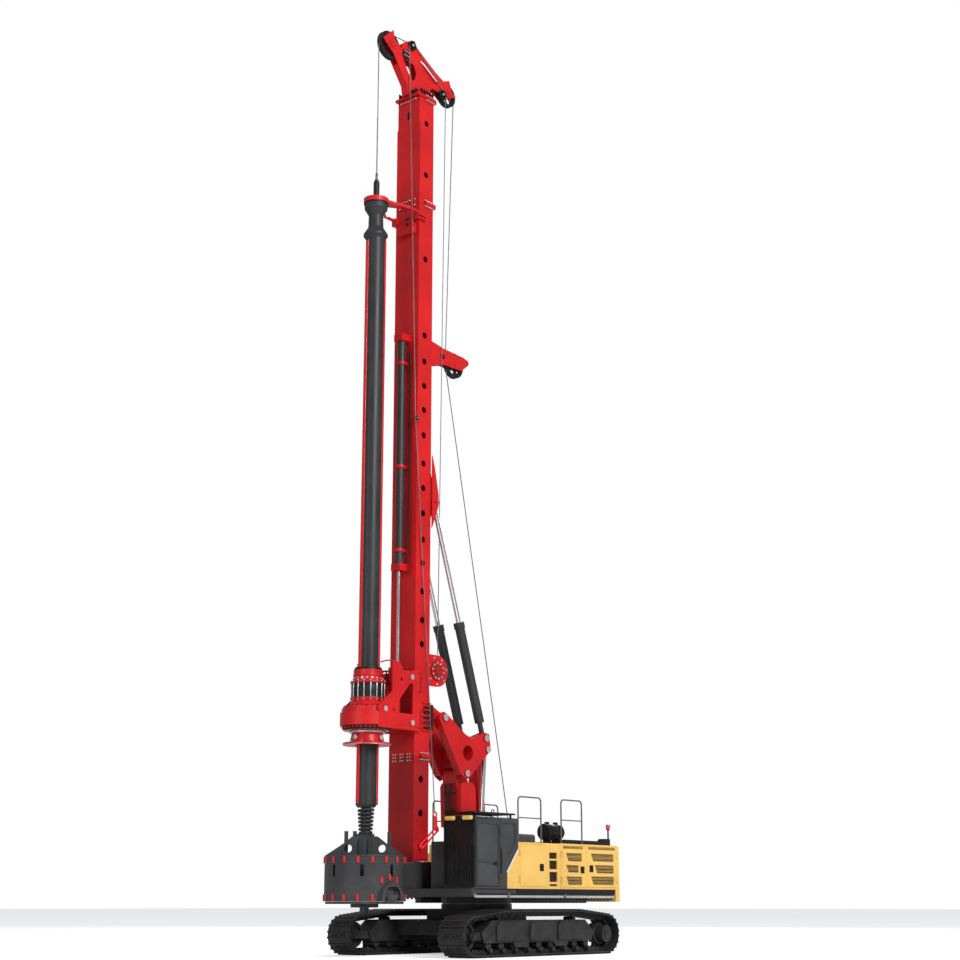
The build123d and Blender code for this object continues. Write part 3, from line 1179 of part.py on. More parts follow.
def housing():
    """The engine housing: a hollow shell with two doorways a side and a bay for the main winch."""
    x, z = HOUSE_X, HOUSE_Z
    shell = block(x, (-HOUSE_HALF, HOUSE_HALF), z)
    shell -= block((HOUSE_BAY, x[1] + 1), (-CABINET_IN, CABINET_IN), (z[0] - 1, z[1] + 1))
    inner = HOUSE_HALF - HOUSE_WALL
    shell -= block((x[0] + HOUSE_WALL, HOUSE_BAY - HOUSE_WALL), (-inner, inner), (z[0] - 1, z[1] - HOUSE_WALL))
    for side in (1, -1):
        wall = sorted((side * (HOUSE_HALF - 100), side * (HOUSE_HALF + 1)))
        for door, edge, toward in HOUSE_HINGES:
            shell -= block(door, wall, DOOR_ROW_Z)
            shell += wall_knuckles(edge, side, toward, DOOR_HINGES_Z)
    return shell + block((-3650, -2420), (-1250, 600), (z[1] - 1, z[1] + 90))


def grille(front, rear, low, high, y):
    """Rows of narrow slots in a field whose lower front corner leans to the rear."""
    rows = int((high - low) / SLOT_STEP)
    cuts = None
    for i in range(rows):
        z = low + (i + 0.5) * (high - low) / rows
        lean = GRILLE_SKEW * (high - z) / (high - low) if rows > 2 else 0
        slot = block((rear, front - lean), y, (z - SLOT_TALL / 2, z + SLOT_TALL / 2))
        cuts = slot if cuts is None else cuts + slot
    return cuts


def housing_door(limits, side, edge, toward):
    """A flush door leaf with its grilles of slots and its half of the hinges."""
    y = sorted((side * (HOUSE_HALF - 30), side * (HOUSE_HALF + 4)))
    leaf = block((limits[0] + DOOR_GAP, limits[1] - DOOR_GAP), y,
                 (DOOR_ROW_Z[0] + DOOR_GAP, DOOR_ROW_Z[1] - DOOR_GAP))
    for field in GRILLES.get(limits, ()):
        leaf -= grille(*field, (y[0] - 1, y[1] + 1))
    return leaf + door_knuckles(edge, side, toward, DOOR_HINGES_Z)


def cabinet(side):
    """A side cabinet between the cab and the engine housing, with its slanted front."""
    cut_x, cut_low, cut_high = CAB_CUT
    gap = 12
    front = [(cut_x - gap, HOUSE_Z[0]), (cut_x - gap, cut_low), (CAB_X[0] - gap, cut_high),
             (CAB_X[0] - gap, CABINET_TOP),
             (HOUSE_X[1] + gap, CABINET_TOP), (HOUSE_X[1] + gap, HOUSE_Z[0])]
    y = sorted((side * CABINET_IN, side * HOUSE_HALF))
    body = slab_xz(front, y)
    if side > 0:
        body -= block((VENT_X[0] - 60, CABINET_DOOR[1]), (CABINET_IN + 40, HOUSE_HALF - 40), (1660, 2680))
        body -= block(CABINET_DOOR, (HOUSE_HALF - 100, HOUSE_HALF + 1), DOOR_ROW_Z)
        for z in VENT_Z:
            body -= block(VENT_X, (HOUSE_HALF - 100, HOUSE_HALF + 1), z)
        body += wall_knuckles(CABINET_DOOR[1], side, -1, DOOR_HINGES_Z)
    return body


def muffler():
    """The air cleaner on its two feet with its bands, and the flat duct that runs rearwards from it."""
    y, z, radius = CLEANER
    rear, front = CLEANER_X
    seat = HOUSE_Z[1] + SEAT_GAP
    body = disc_x(y, z, radius, (rear + 60, front - 40)) + disc_x(y, z, radius - 40, (rear, front))
    body += disc_x(y, z, 90, (rear - 110, rear + 10))
    for spot in (rear + 150, front - 220):
        body += disc_x(y, z, radius + 12, (spot, spot + 70))
        body += block((spot, spot + 70), (y - 110, y + 110), (seat, z - radius + 20))
        body += block((spot + 5, spot + 65), (y - 60, y + 60), (z + radius - 20, z + radius + 50))
    duct = [(DUCT_X[0] - 260, seat), (DUCT_X[1], seat), (DUCT_X[1], seat + 110), (DUCT_X[0] + 60, seat + 110),
            (DUCT_X[0], seat + 180), (DUCT_X[0] - 260, seat + 180)]
    return body + slab_xz(duct, (1150, 1350)) + disc_z(BEACON[0], BEACON[1], 22, (seat + 170, seat + 430))


def handrails():
    """A bent tube with a middle bar over each step and each first door, on both sides."""
    rails = None
    for x0, x1 in RAIL_BAYS:
        for side in (1, -1):
            y = side * (HOUSE_HALF - 60)
            low = (CABINET_TOP if x1 > 0 else HOUSE_Z[1]) + SEAT_GAP
            bend, top = RAIL_ROUND, RAIL_HIGH - RAIL_ROUND
            rail = disc_z(x0, y, RAIL_TUBE, (low, top)) + disc_z(x1, y, RAIL_TUBE, (low, top))
            rail += disc_x(y, RAIL_HIGH, RAIL_TUBE, (x0 + bend, x1 - bend))
            rail += disc_x(y, RAIL_MIDDLE, RAIL_TUBE - 4, (x0, x1))
            for x, toward in ((x0 + bend, -1), (x1 - bend, 1)):
                ring = Pos(x, y, top) * Rot(90, 0, 0) * Torus(bend, RAIL_TUBE)
                corner = block(sorted((x, x + toward * 2 * bend)), (y - 30, y + 30), (top, RAIL_HIGH + 30))
                rail += ring & corner
            rails = rail if rails is None else rails + rail
    return rails


def deck_boxes():
    """The closed boxes on the front right of the deck and the black cover beside the cab."""
    tool_box = block((900, 1820), (-HOUSE_HALF + 100, -510), (DECK_SEAT, 2260))
    boxes = chamfer(tool_box.edges().filter_by(Axis.Y).group_by(Axis.Z)[-1], 60)
    boxes += block((1300, 1690), (-50, 460), (DECK_SEAT, 2740))
    cover = block((-650, 90), (1080, HOUSE_HALF - 95), (CABINET_TOP + SEAT_GAP, 2950))
    return boxes + chamfer(cover.edges().filter_by(Axis.X).group_by(Axis.Z)[-1], 50)


def engine():
    """The engine as one plain block at its real place."""
    return block((-3500, -2150), (-480, 480), (DECK_SEAT, 2450))


def write_undercarriage():
    """Write what stays on the ground when the upper turns."""
    middle = GAUGE / 2
    save(carbody(), "carbody")
    save(track_frame(middle) + track_frame(-middle), "track_frames")
    save(idler_wheel(middle) + idler_wheel(-middle), "idlers")
    save(drive_sprocket(middle) + drive_sprocket(-middle), "sprockets")
    save(track_loop(middle), "track_left")
    save(track_loop(-middle), "track_right")


def write_upper():
    """Write the turning platform and what stands on it."""
    save(platform(), "platform")
    save(walkways(), "walkways")
    save(counterweight(), "counterweight")
    save(housing(), "engine_housing")
    save(engine(), "engine_block")
    save(muffler(), "muffler")
    save(handrails(), "handrails")
    save(deck_boxes(), "deck_boxes")
    save(cabinet(1) + cabinet(-1), "cabinets")
    for name, side in (("left", 1), ("right", -1)):
        for i, (limits, edge, toward) in enumerate(HOUSE_HINGES, 1):
            save(housing_door(limits, side, edge, toward), f"housing_door_{name}_{i}")
    save(housing_door(CABINET_DOOR, 1, CABINET_DOOR[1], -1), "cabinet_door")
    save(winch_frame(MAIN_WINCH, DECK_Z[1] + SEAT_GAP, 420), "main_winch_frame")
    save(drum(MAIN_WINCH, 320, 430, 420, 60), "main_winch_drum")


def write_cab():
    """Write the cab with its door, seat, guards and lamps."""
    save(cab_shell(), "cab_shell")
    save(cab_glass(), "cab_glass")
    save(cab_door(), "cab_door")
    save(cab_door_glass(), "cab_door_glass")
    save(cab_seat(), "cab_seat")
    save(cab_guard(), "cab_guard")
    save(work_lamps(), "work_lamps")


def write_kinematics():
    """Write the boom, the link, the frame that they carry, and the four cylinders."""
    save(boom(), "boom")
    save(tie_link(), "tie_link")
    save(delta_frame(), "delta_frame")
    pairs = {"luff_barrels": None, "luff_rods": None, "mast_barrels": None, "mast_rods": None}
    for side in (1, -1):
        move = Pos(0, side * LINK_Y, 0)
        shapes = {
            "luff_barrels": cylinder_barrel(PIN_LUFF_FOOT, PIN_DELTA_REAR, LUFF_BARREL, LUFF_ROD, 200, 1300),
            "luff_rods": cylinder_rod(PIN_LUFF_FOOT, PIN_DELTA_REAR, LUFF_ROD, LUFF_EYE,
                                      PIN_RADIUS + LUFF_DRIFT, 700),
            "mast_barrels": cylinder_barrel(PIN_BACKSTAY_FOOT, PIN_BACKSTAY_HEAD, BACKSTAY_BARREL,
                                            BACKSTAY_ROD, 420, 3070),
            "mast_rods": cylinder_rod(PIN_BACKSTAY_FOOT, PIN_BACKSTAY_HEAD, BACKSTAY_ROD, BACKSTAY_EYE,
                                      BACKSTAY_PIN + BACKSTAY_DRIFT, 1900),
        }
        for name, shape in shapes.items():
            placed = move * shape
            pairs[name] = placed if pairs[name] is None else pairs[name] + placed
    for name, shape in pairs.items():
        save(shape, name)


def write_mast():
    """Write the mast's sections with its head, sheaves and auxiliary winch."""
    save(mast_lower(), "mast_lower")
    save(mast_middle(), "mast_middle")
    save(mast_upper(), "mast_upper")
    save(mast_head(), "mast_head")
    save(sheave(SHEAVE_FRONT), "sheave_front")
    save(sheave(SHEAVE_REAR), "sheave_rear")
    save(small_sheave(SHEAVE_AUX), "sheave_aux")
    save(rope_guide(), "rope_guide")
    save(sheave(GUIDE_SHEAVE, 5), "sheave_guide")
    save(drum(AUX_WINCH, 230, 300, 305, PIN_RADIUS), "aux_winch_drum")
    save(crowd_barrel(), "crowd_barrel")


def write_drilling():
    """Write what slides on the mast and what it turns."""
    save(carriage(), "carriage")
    save(crowd_rod(), "crowd_rod")
    save(rotary_drive(), "rotary_drive")
    save(drive_adapter(), "drive_adapter")
    save(kelly_guide(), "kelly_guide")
    save(kelly_swivel(), "kelly_swivel")
    save(kelly_bar(), "kelly_bar")
    save(bucket(), "bucket")
    save(bucket_door(), "bucket_door")


os.makedirs("parts", exist_ok=True)
write_undercarriage()
write_upper()
write_cab()
write_kinematics()
write_mast()
write_drilling()
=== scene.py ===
from math import acos, asin, atan2, cos, dist, hypot, pi, radians, sin

import bmesh
import bpy
from mathutils import Matrix, Vector


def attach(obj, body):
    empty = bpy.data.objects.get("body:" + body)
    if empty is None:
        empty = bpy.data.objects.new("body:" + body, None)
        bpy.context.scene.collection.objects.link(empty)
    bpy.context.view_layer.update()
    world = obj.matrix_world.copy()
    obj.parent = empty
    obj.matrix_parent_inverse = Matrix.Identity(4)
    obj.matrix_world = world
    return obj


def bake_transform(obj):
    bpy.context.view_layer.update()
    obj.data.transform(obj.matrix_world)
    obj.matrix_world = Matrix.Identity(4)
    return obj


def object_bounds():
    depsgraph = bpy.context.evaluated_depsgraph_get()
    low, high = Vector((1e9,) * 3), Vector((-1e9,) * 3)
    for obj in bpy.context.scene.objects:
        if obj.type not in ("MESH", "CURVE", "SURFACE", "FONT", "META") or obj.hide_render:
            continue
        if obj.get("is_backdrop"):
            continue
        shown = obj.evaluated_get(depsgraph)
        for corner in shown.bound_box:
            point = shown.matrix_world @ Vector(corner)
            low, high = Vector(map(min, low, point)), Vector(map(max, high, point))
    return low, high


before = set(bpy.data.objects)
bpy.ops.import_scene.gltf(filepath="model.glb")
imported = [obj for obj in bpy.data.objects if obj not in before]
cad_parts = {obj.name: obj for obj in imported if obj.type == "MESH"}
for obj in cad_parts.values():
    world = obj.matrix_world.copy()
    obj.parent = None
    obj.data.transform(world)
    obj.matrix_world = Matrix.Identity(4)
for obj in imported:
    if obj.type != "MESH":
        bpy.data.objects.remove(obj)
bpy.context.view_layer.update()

# Camera, floor and lights. The view is the one of the photograph: low, from the front left,
# looking up the mast. Places are metres; AXIS_X is where the slewing axis stands.
AXIS_X = -0.412
CAMERA_PLACE = (33.038 + AXIS_X, 28.096, 1.2335)
LENS, SENSOR = 61.746, 36
LOOK_UP, LOOK_ROUND = 14.437, 130.264

bpy.ops.object.camera_add(location=CAMERA_PLACE, rotation=(radians(90 + LOOK_UP), 0, radians(LOOK_ROUND)))
camera = bpy.context.object
camera.name = "photo_camera"
camera.data.lens = LENS
camera.data.sensor_width = SENSOR
camera.data.clip_start = 0.5
camera.data.clip_end = 600
bpy.context.scene.camera = camera
bpy.context.scene.view_settings.view_transform = "Standard"


def join(tree, *pairs):
    """Links output, input pairs."""
    for source, target in pairs:
        tree.links.new(source, target)


def maths(tree, kind, a, b):
    """A math node; a and b are sockets or numbers."""
    made = tree.nodes.new("ShaderNodeMath")
    made.operation = kind
    for index, value in enumerate((a, b)):
        if isinstance(value, (int, float)):
            made.inputs[index].default_value = value
        else:
            tree.links.new(value, made.inputs[index])
    return made.outputs[0]


def new_material(name):
    """A material with its node tree and its shader."""
    made = bpy.data.materials.new(name)
    made.use_nodes = True
    return made, made.node_tree, made.node_tree.nodes["Principled BSDF"]


# The floor shines a little for the camera alone, so it stays as pale as the backdrop.
bpy.ops.mesh.primitive_plane_add(size=700, location=(0, 0, -0.001))
floor = bpy.context.object
floor.name = "studio_floor"
pale, pale_tree, glow = new_material("floor_pale")
glow.inputs["Base Color"].default_value = (0.8, 0.8, 0.81, 1)
glow.inputs["Roughness"].default_value = 0.9
glow.inputs["Emission Color"].default_value = (1, 1, 1, 1)
eye = pale_tree.nodes.new("ShaderNodeLightPath")
shine = maths(pale_tree, "MULTIPLY", eye.outputs["Is Camera Ray"], 0.5)
pale_tree.links.new(shine, glow.inputs["Emission Strength"])
floor.data.materials.append(pale)
floor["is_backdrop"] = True

for name, place, aim, size, power in (
    ("key_light", (14, 52, 34), (0, 0, 9), 20, 29500),
    ("fill_light", (52, 4, 16), (0, 0, 10), 22, 4500),
    ("rim_light", (-34, -20, 30), (0, 0, 10), 18, 12000),
):
    bpy.ops.object.light_add(type="AREA", location=place)
    light = bpy.context.object
    light.name = name
    light.data.size = size
    light.data.energy = power
    light.rotation_euler = (Vector(aim) - Vector(place)).to_track_quat("-Z", "Y").to_euler()

world = bpy.data.worlds.new("studio")
bpy.context.scene.world = world
world.use_nodes = True
sky = world.node_tree.nodes
soft_light = sky["Background"]
soft_light.inputs["Color"].default_value = (0.95, 0.97, 1, 1)
soft_light.inputs["Strength"].default_value = 0.38
backdrop = sky.new("ShaderNodeBackground")
backdrop.inputs["Color"].default_value = (1, 1, 1, 1)
backdrop.inputs["Strength"].default_value = 1.0
paths = sky.new("ShaderNodeLightPath")
seen = sky.new("ShaderNodeMixShader")
rays = [paths.outputs[kind] for kind in ("Is Camera Ray", "Is Transmission Ray")]
join(
    world.node_tree,
    (maths(world.node_tree, "MAXIMUM", *rays), seen.inputs["Fac"]),
    (soft_light.outputs[0], seen.inputs[1]),
    (backdrop.outputs[0], seen.inputs[2]),
    (seen.outputs[0], sky["World Output"].inputs["Surface"]),
)

# Paint of the steelwork. Every painted plate is sprayed, faded a little by weather, streaked by
# rain and dusted from the ground up; the group turns the values of one coat into its colour,
# roughness and normal.


def noise(tree, place, scale, detail, rough=0.55):
    """A noise texture read at a place."""
    made = tree.nodes.new("ShaderNodeTexNoise")
    made.inputs["Scale"].default_value = scale
    made.inputs["Detail"].default_value = detail
    made.inputs["Roughness"].default_value = rough
    tree.links.new(place, made.inputs["Vector"])
    return made.outputs["Fac"]


def ramp(tree, value, low, high, to_low=0.0, to_high=1.0):
    """A value spread from one range to another and clamped."""
    made = tree.nodes.new("ShaderNodeMapRange")
    for label, amount in (("From Min", low), ("From Max", high), ("To Min", to_low), ("To Max", to_high)):
        made.inputs[label].default_value = amount
    tree.links.new(value, made.inputs["Value"])
    return made.outputs["Result"]


def mix_colour(tree, factor, a, b, kind="MIX"):
    """Mixes two colours; each of them, and the factor, is a socket or a value."""
    made = tree.nodes.new("ShaderNodeMix")
    made.data_type = "RGBA"
    made.blend_type = kind
    made.clamp_factor = True
    for socket, value in zip((made.inputs[0], made.inputs[6], made.inputs[7]), (factor, a, b)):
        if isinstance(value, (int, float, tuple)):
            socket.default_value = value
        else:
            tree.links.new(value, socket)
    return made.outputs[2]


COAT = ("Colour", "Fade", "Streaks", "Dust", "Dust height", "Rough", "Relief")
DUST = (0.42, 0.37, 0.3, 1)
weathered = bpy.data.node_groups.new("weathered_coat", "ShaderNodeTree")
for label in COAT:
    kind = "NodeSocketColor" if label == "Colour" else "NodeSocketFloat"
    weathered.interface.new_socket(label, in_out="INPUT", socket_type=kind)
for label, kind in (("Colour", "Color"), ("Roughness", "Float"), ("Normal", "Vector")):
    weathered.interface.new_socket(label, in_out="OUTPUT", socket_type="NodeSocket" + kind)
coat_in = weathered.nodes.new("NodeGroupInput")
coat_out = weathered.nodes.new("NodeGroupOutput")
where = weathered.nodes.new("ShaderNodeTexCoord").outputs["Object"]
facing = weathered.nodes.new("ShaderNodeNewGeometry").outputs["Normal"]
stretched = weathered.nodes.new("ShaderNodeMapping")
stretched.inputs["Scale"].default_value = (6.0, 6.0, 0.35)
weathered.links.new(where, stretched.inputs["Vector"])
patches = ramp(weathered, noise(weathered, where, 0.9, 4), 0.35, 0.68, -1.0, 1.0)
fade = maths(weathered, "MULTIPLY", patches, coat_in.outputs["Fade"])
fade = maths(weathered, "ADD", fade, 1.0)
streak = ramp(weathered, noise(weathered, stretched.outputs[0], 1.6, 5, 0.7), 0.52, 0.78)
streak = maths(weathered, "MULTIPLY", streak, coat_in.outputs["Streaks"])
grey_level = weathered.nodes.new("ShaderNodeCombineColor")
for label in ("Red", "Green", "Blue"):
    weathered.links.new(fade, grey_level.inputs[label])
faded = mix_colour(weathered, 1.0, coat_in.outputs["Colour"], grey_level.outputs[0], "MULTIPLY")
streaked = mix_colour(weathered, streak, faded, (0.03, 0.028, 0.026, 1))
parts_of_place = weathered.nodes.new("ShaderNodeSeparateXYZ")
parts_of_normal = weathered.nodes.new("ShaderNodeSeparateXYZ")
join(weathered, (where, parts_of_place.inputs[0]), (facing, parts_of_normal.inputs[0]))
low_down = maths(weathered, "DIVIDE", parts_of_place.outputs["Z"], coat_in.outputs["Dust height"])
low_down = ramp(weathered, low_down, 0.0, 1.0, 1.0, 0.0)
level_top = ramp(weathered, parts_of_normal.outputs["Z"], 0.4, 0.95, 0.0, 0.55)
settled = maths(weathered, "MAXIMUM", low_down, level_top)
cloud = ramp(weathered, noise(weathered, where, 3.5, 6, 0.65), 0.38, 0.7)
dusty = maths(weathered, "MULTIPLY", settled, cloud)
dusty = maths(weathered, "MULTIPLY", dusty, coat_in.outputs["Dust"])
dusted = mix_colour(weathered, dusty, streaked, DUST)
orange_peel = noise(weathered, where, 70, 2)
relief = weathered.nodes.new("ShaderNodeBump")
relief.inputs["Distance"].default_value = 0.004
join(
    weathered,
    (orange_peel, relief.inputs["Height"]),
    (coat_in.outputs["Relief"], relief.inputs["Strength"]),
)
roughness = maths(weathered, "ADD", coat_in.outputs["Rough"], maths(weathered, "MULTIPLY", dusty, 0.5))
roughness = maths(weathered, "ADD", roughness, ramp(weathered, patches, -1, 1, -0.05, 0.06))
join(
    weathered,
    (dusted, coat_out.inputs["Colour"]),
    (roughness, coat_out.inputs["Roughness"]),
    (relief.outputs[0], coat_out.inputs["Normal"]),
)


def coated(
    name, colour, rough, fade=0.1, streaks=0.12, dust=0.25, height=2.0, relief=0.05, metal=0.0,
    coat=0.0,
):
    """A painted or bare metal surface that the weather has worked on."""
    made, tree, shader = new_material(name)
    layer = tree.nodes.new("ShaderNodeGroup")
    layer.node_tree = weathered
    for label, value in zip(COAT, ((*colour, 1), fade, streaks, dust, height, rough, relief)):
        layer.inputs[label].default_value = value
    for given, taken in (("Colour", "Base Color"), ("Roughness", "Roughness"), ("Normal", "Normal")):
        tree.links.new(layer.outputs[given], shader.inputs[taken])
    shader.inputs["Metallic"].default_value = metal
    shader.inputs["Coat Weight"].default_value = coat
    shader.inputs["Specular IOR Level"].default_value = 0.25
    return made


rig_red = coated("rig_red_paint", (0.54, 0.008, 0.01), 0.4, fade=0.12, dust=0.02, coat=0.05)
# A darker copy of the rig's red paint: painted shade, worn by the lower mast, the winch's bearing housing
# and the mast foot's bolts.
shaded_red = coated(
    "shaded_red_paint", (0.34, 0.006, 0.008), 0.4, fade=0.16, streaks=0.25, dust=0.03, coat=0.05
)
frame_grey = coated(
    "undercarriage_paint", (0.02, 0.02, 0.021), 0.5, fade=0.25, dust=0.1, height=1.0
)
house_grey = coated("house_grey_paint", (0.05, 0.05, 0.052), 0.42, fade=0.12, dust=0.05)
house_yellow = coated(
    "house_yellow_paint", (0.84, 0.52, 0.13), 0.36,
    fade=0.06, streaks=0.04, dust=0.05, coat=0.12,
)
barrel_grey = coated("barrel_grey_paint", (0.035, 0.036, 0.038), 0.4, fade=0.15, dust=0.04)
kelly_dark = coated(
    "kelly_grey_paint", (0.026, 0.027, 0.028), 0.42, fade=0.25, streaks=0.4, dust=0.05
)
black_metal = coated("black_coat", (0.01, 0.01, 0.011), 0.45, fade=0.2, dust=0.06)
rail_grey = coated("rail_grey_paint", (0.1, 0.103, 0.107), 0.4, dust=0.05)
bucket_grey = coated(
    "bucket_grey_paint", (0.04, 0.041, 0.043), 0.48,
    fade=0.3, streaks=0.35, dust=0.1, height=2.2,
)
track_steel = coated(
    "track_steel", (0.03, 0.03, 0.0305), 0.42,
    fade=0.4, dust=0.05, height=1.1, relief=0.5, metal=0.3,
)
chrome = coated(
    "ground_chrome", (0.8, 0.81, 0.82), 0.12,
    fade=0.04, streaks=0.03, dust=0.0, relief=0.0, metal=1.0,
)
zinc = coated("zinc_plate", (0.62, 0.63, 0.64), 0.3, fade=0.15, streaks=0.1, dust=0.02, metal=0.7)
hose_black = coated("hose_rubber", (0.014, 0.014, 0.015), 0.55, dust=0.08, relief=0.3)

# Glazing of the cab: tinted safety glass, a little streaked.
glass, tint, pane = new_material("cab_glazing")
pane.inputs["Roughness"].default_value = 0.22
pane.inputs["Specular IOR Level"].default_value = 0.3
pane.inputs["Alpha"].default_value = 0.92
pane_place = tint.nodes.new("ShaderNodeTexCoord").outputs["Object"]
smears = ramp(tint, noise(tint, pane_place, 1.7, 2), 0.3, 0.7)
smoked = mix_colour(tint, smears, (0.05, 0.052, 0.054, 1), (0.07, 0.072, 0.075, 1))
join(tint, (smoked, pane.inputs["Base Color"]))

# Seat of the operator: black woven cloth over foam.
cloth, weave, seat_shader = new_material("seat_cloth")
seat_place = weave.nodes.new("ShaderNodeTexCoord").outputs["Object"]
threads = noise(weave, seat_place, 220, 2)
yarn = mix_colour(weave, threads, (0.012, 0.012, 0.014, 1), (0.05, 0.05, 0.055, 1))
nap = weave.nodes.new("ShaderNodeBump")
nap.inputs["Distance"].default_value = 0.002
join(
    weave,
    (yarn, seat_shader.inputs["Base Color"]),
    (threads, nap.inputs["Height"]),
    (nap.outputs[0], seat_shader.inputs["Normal"]),
)
seat_shader.inputs["Roughness"].default_value = 0.9

# Step plate along the deck: bare aluminium with a rough rolled face.
tread_plate = coated("tread_plate", (0.6, 0.6, 0.61), 0.4, dust=0.06, relief=0.6, metal=0.3)

# Which finish each CAD node wears.
FINISHES = (
    (frame_grey, "carbody track_frames idlers sprockets"),
    (track_steel, "track_left track_right"),
    (house_grey, "platform deck_boxes cab_shell cab_door"),
    (tread_plate, "walkways"),
    (house_yellow, "counterweight engine_housing cabinets cabinet_door work_lamps"),
    (house_yellow, "housing_door_left_1 housing_door_left_2 housing_door_right_1 housing_door_right_2"),
    (black_metal, "engine_block muffler cab_guard kelly_swivel"),
    (black_metal, "sheave_front sheave_rear sheave_aux sheave_guide"),
    (rail_grey, "handrails"),
    (rig_red, "main_winch_frame main_winch_drum aux_winch_drum boom tie_link delta_frame"),
    (rig_red, "mast_middle mast_upper mast_head rope_guide kelly_guide"),
    (rig_red, "carriage rotary_drive drive_adapter"),
    # The lower mast wears the darker copy of the red, as painted shade.
    (shaded_red, "mast_lower"),
    (barrel_grey, "luff_barrels mast_barrels crowd_barrel"),
    (chrome, "luff_rods mast_rods crowd_rod"),
    (kelly_dark, "kelly_bar"),
    (bucket_grey, "bucket bucket_door"),
    (glass, "cab_glass cab_door_glass"),
    (cloth, "cab_seat"),
)
for finish, names in FINISHES:
    for name in names.split():
        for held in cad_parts[name].material_slots:
            held.material = finish

# Bolts of the bolted joints: zinc-plated hexagon heads on washers, in rows along each flange. One
# bolt is modelled and copied to every place of its row.


def point(x, y, z):
    """A point of the machine, whose own measures start at the slewing axis."""
    return Vector((x + AXIS_X, y, z))


def apply_modifier(made, kind, **values):
    """Adds a modifier with its values and applies it."""
    tool = made.modifiers.new("shaping", kind)
    for label, value in values.items():
        setattr(tool, label, value)
    bpy.context.view_layer.objects.active = made
    bpy.ops.object.modifier_apply(modifier=tool.name)


def one_piece(pieces):
    """Joins pieces into one and puts its place into its mesh."""
    bpy.ops.object.select_all(action="DESELECT")
    for piece in pieces:
        piece.select_set(True)
    bpy.context.view_layer.objects.active = pieces[0]
    if len(pieces) > 1:
        bpy.ops.object.join()
    bpy.ops.object.transform_apply()
    return bpy.context.object


def hang(pieces, name, finish, body):
    """Makes pieces one, names it, gives it its finish and hangs it on the body that carries it."""
    piece = one_piece(pieces)
    piece.name = name
    piece.data.name = name
    piece.data.materials.clear()
    piece.data.materials.append(finish)
    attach(piece, body)


def stand(spot, direction, turn=0.0):
    """The pose of a piece modelled upright at the origin: its foot and where its head points."""
    lean = Vector(direction).to_track_quat("Z", "Y").to_matrix().to_4x4()
    return Matrix.Translation(spot) @ lean @ Matrix.Rotation(turn, 4, "Z")


def put(made, pose):
    """Puts the shape made last in its pose, and the pose into its mesh."""
    made.matrix_world = pose
    bpy.ops.object.transform_apply()
    return made


def soften(made, edge):
    """Breaks the sharp edges of a round shape and smooths the rest."""
    apply_modifier(made, "BEVEL", width=edge, segments=2, limit_method="ANGLE", angle_limit=radians(50))
    bpy.ops.object.shade_smooth_by_angle(angle=radians(35))


def bar(start, end, radius, sides=24, edge=0.004):
    """A round bar or disc between two points of the machine, with broken edges."""
    foot, head = point(*start), point(*end)
    line = head - foot
    bpy.ops.mesh.primitive_cylinder_add(vertices=sides, radius=radius, depth=line.length)
    made = put(bpy.context.object, stand((foot + head) / 2, line))
    soften(made, edge)
    return made


def slab(one, other, edge=0.006):
    """A plate or block between two corners of the machine, with broken edges."""
    low, high = point(*one), point(*other)
    bpy.ops.mesh.primitive_cube_add(size=1, location=(low + high) / 2)
    made = bpy.context.object
    made.scale = [abs(reach) for reach in high - low]
    bpy.ops.object.transform_apply()
    apply_modifier(made, "BEVEL", width=edge, segments=2)
    return made


def copies(pattern, poses):
    """Copies of one pattern at each pose; the pattern itself goes."""
    twins = []
    for pose in poses:
        twin = pattern.copy()
        twin.data = pattern.data.copy()
        bpy.context.collection.objects.link(twin)
        twin.matrix_world = pose
        twins.append(twin)
    bpy.data.objects.remove(pattern)
    return twins


def bolt(radius):
    """One hexagon bolt head on its washer, upright at the origin."""
    bpy.ops.mesh.primitive_cylinder_add(
        vertices=6, radius=radius, depth=radius * 0.9, location=(0, 0, radius * 0.5)
    )
    head = bpy.context.object
    apply_modifier(head, "BEVEL", width=radius * 0.14, segments=1)
    bpy.ops.mesh.primitive_cylinder_add(vertices=14, radius=radius * 1.3, depth=radius * 0.3)
    return one_piece([head, bpy.context.object])


def bolts(name, radius, spots, finish, body):
    """A row of bolts; each spot is a point of the machine and the direction that its head faces."""
    poses = [stand(point(*spot), way, 0.4 * index) for index, (spot, way) in enumerate(spots)]
    hang(copies(bolt(radius), poses), name, finish, body)


FRONT, SIDE, FAR, UP, DOWN = (1, 0, 0), (0, 1, 0), (0, -1, 0), (0, 0, 1), (0, 0, -1)

# Flanges of the mast: the rows of bolts that join its sections and carry the head. The carriage
# runs over the lower joint, so that one has bolts at its sides and flat studs in its front.
LOWER_FLANGE, UPPER_FLANGE, HEAD_FLANGE = 4.77, 19.5, 22.62
for name, level, gap in (
    ("lower_flange_bolts", LOWER_FLANGE, 0.075),
    ("upper_flange_bolts", UPPER_FLANGE, 0.075),
    ("head_flange_bolts", HEAD_FLANGE, 0.07),
):
    places = []
    if level > LOWER_FLANGE:
        places = [(2.905, -0.27 + 0.09 * index) for index in range(7)]
    places += [(2.35 + 0.07 * index, 0.425 * side) for index in range(5) for side in (1, -1)]
    spots = []
    for x, y in places:
        spots += [((x, y, level + gap), UP), ((x, y, level - gap), DOWN)]
    bolts(name, 0.022, spots, zinc, "mast")
studs = []
for y in (-0.28, -0.2, -0.04, 0.04, 0.2, 0.28):
    for z in (4.66, 4.74, 4.82):
        studs.append(bar((2.872, y, z), (2.885, y, z), 0.02, 14, 0.002))
hang(studs, "lower_flange_studs", zinc, "mast")

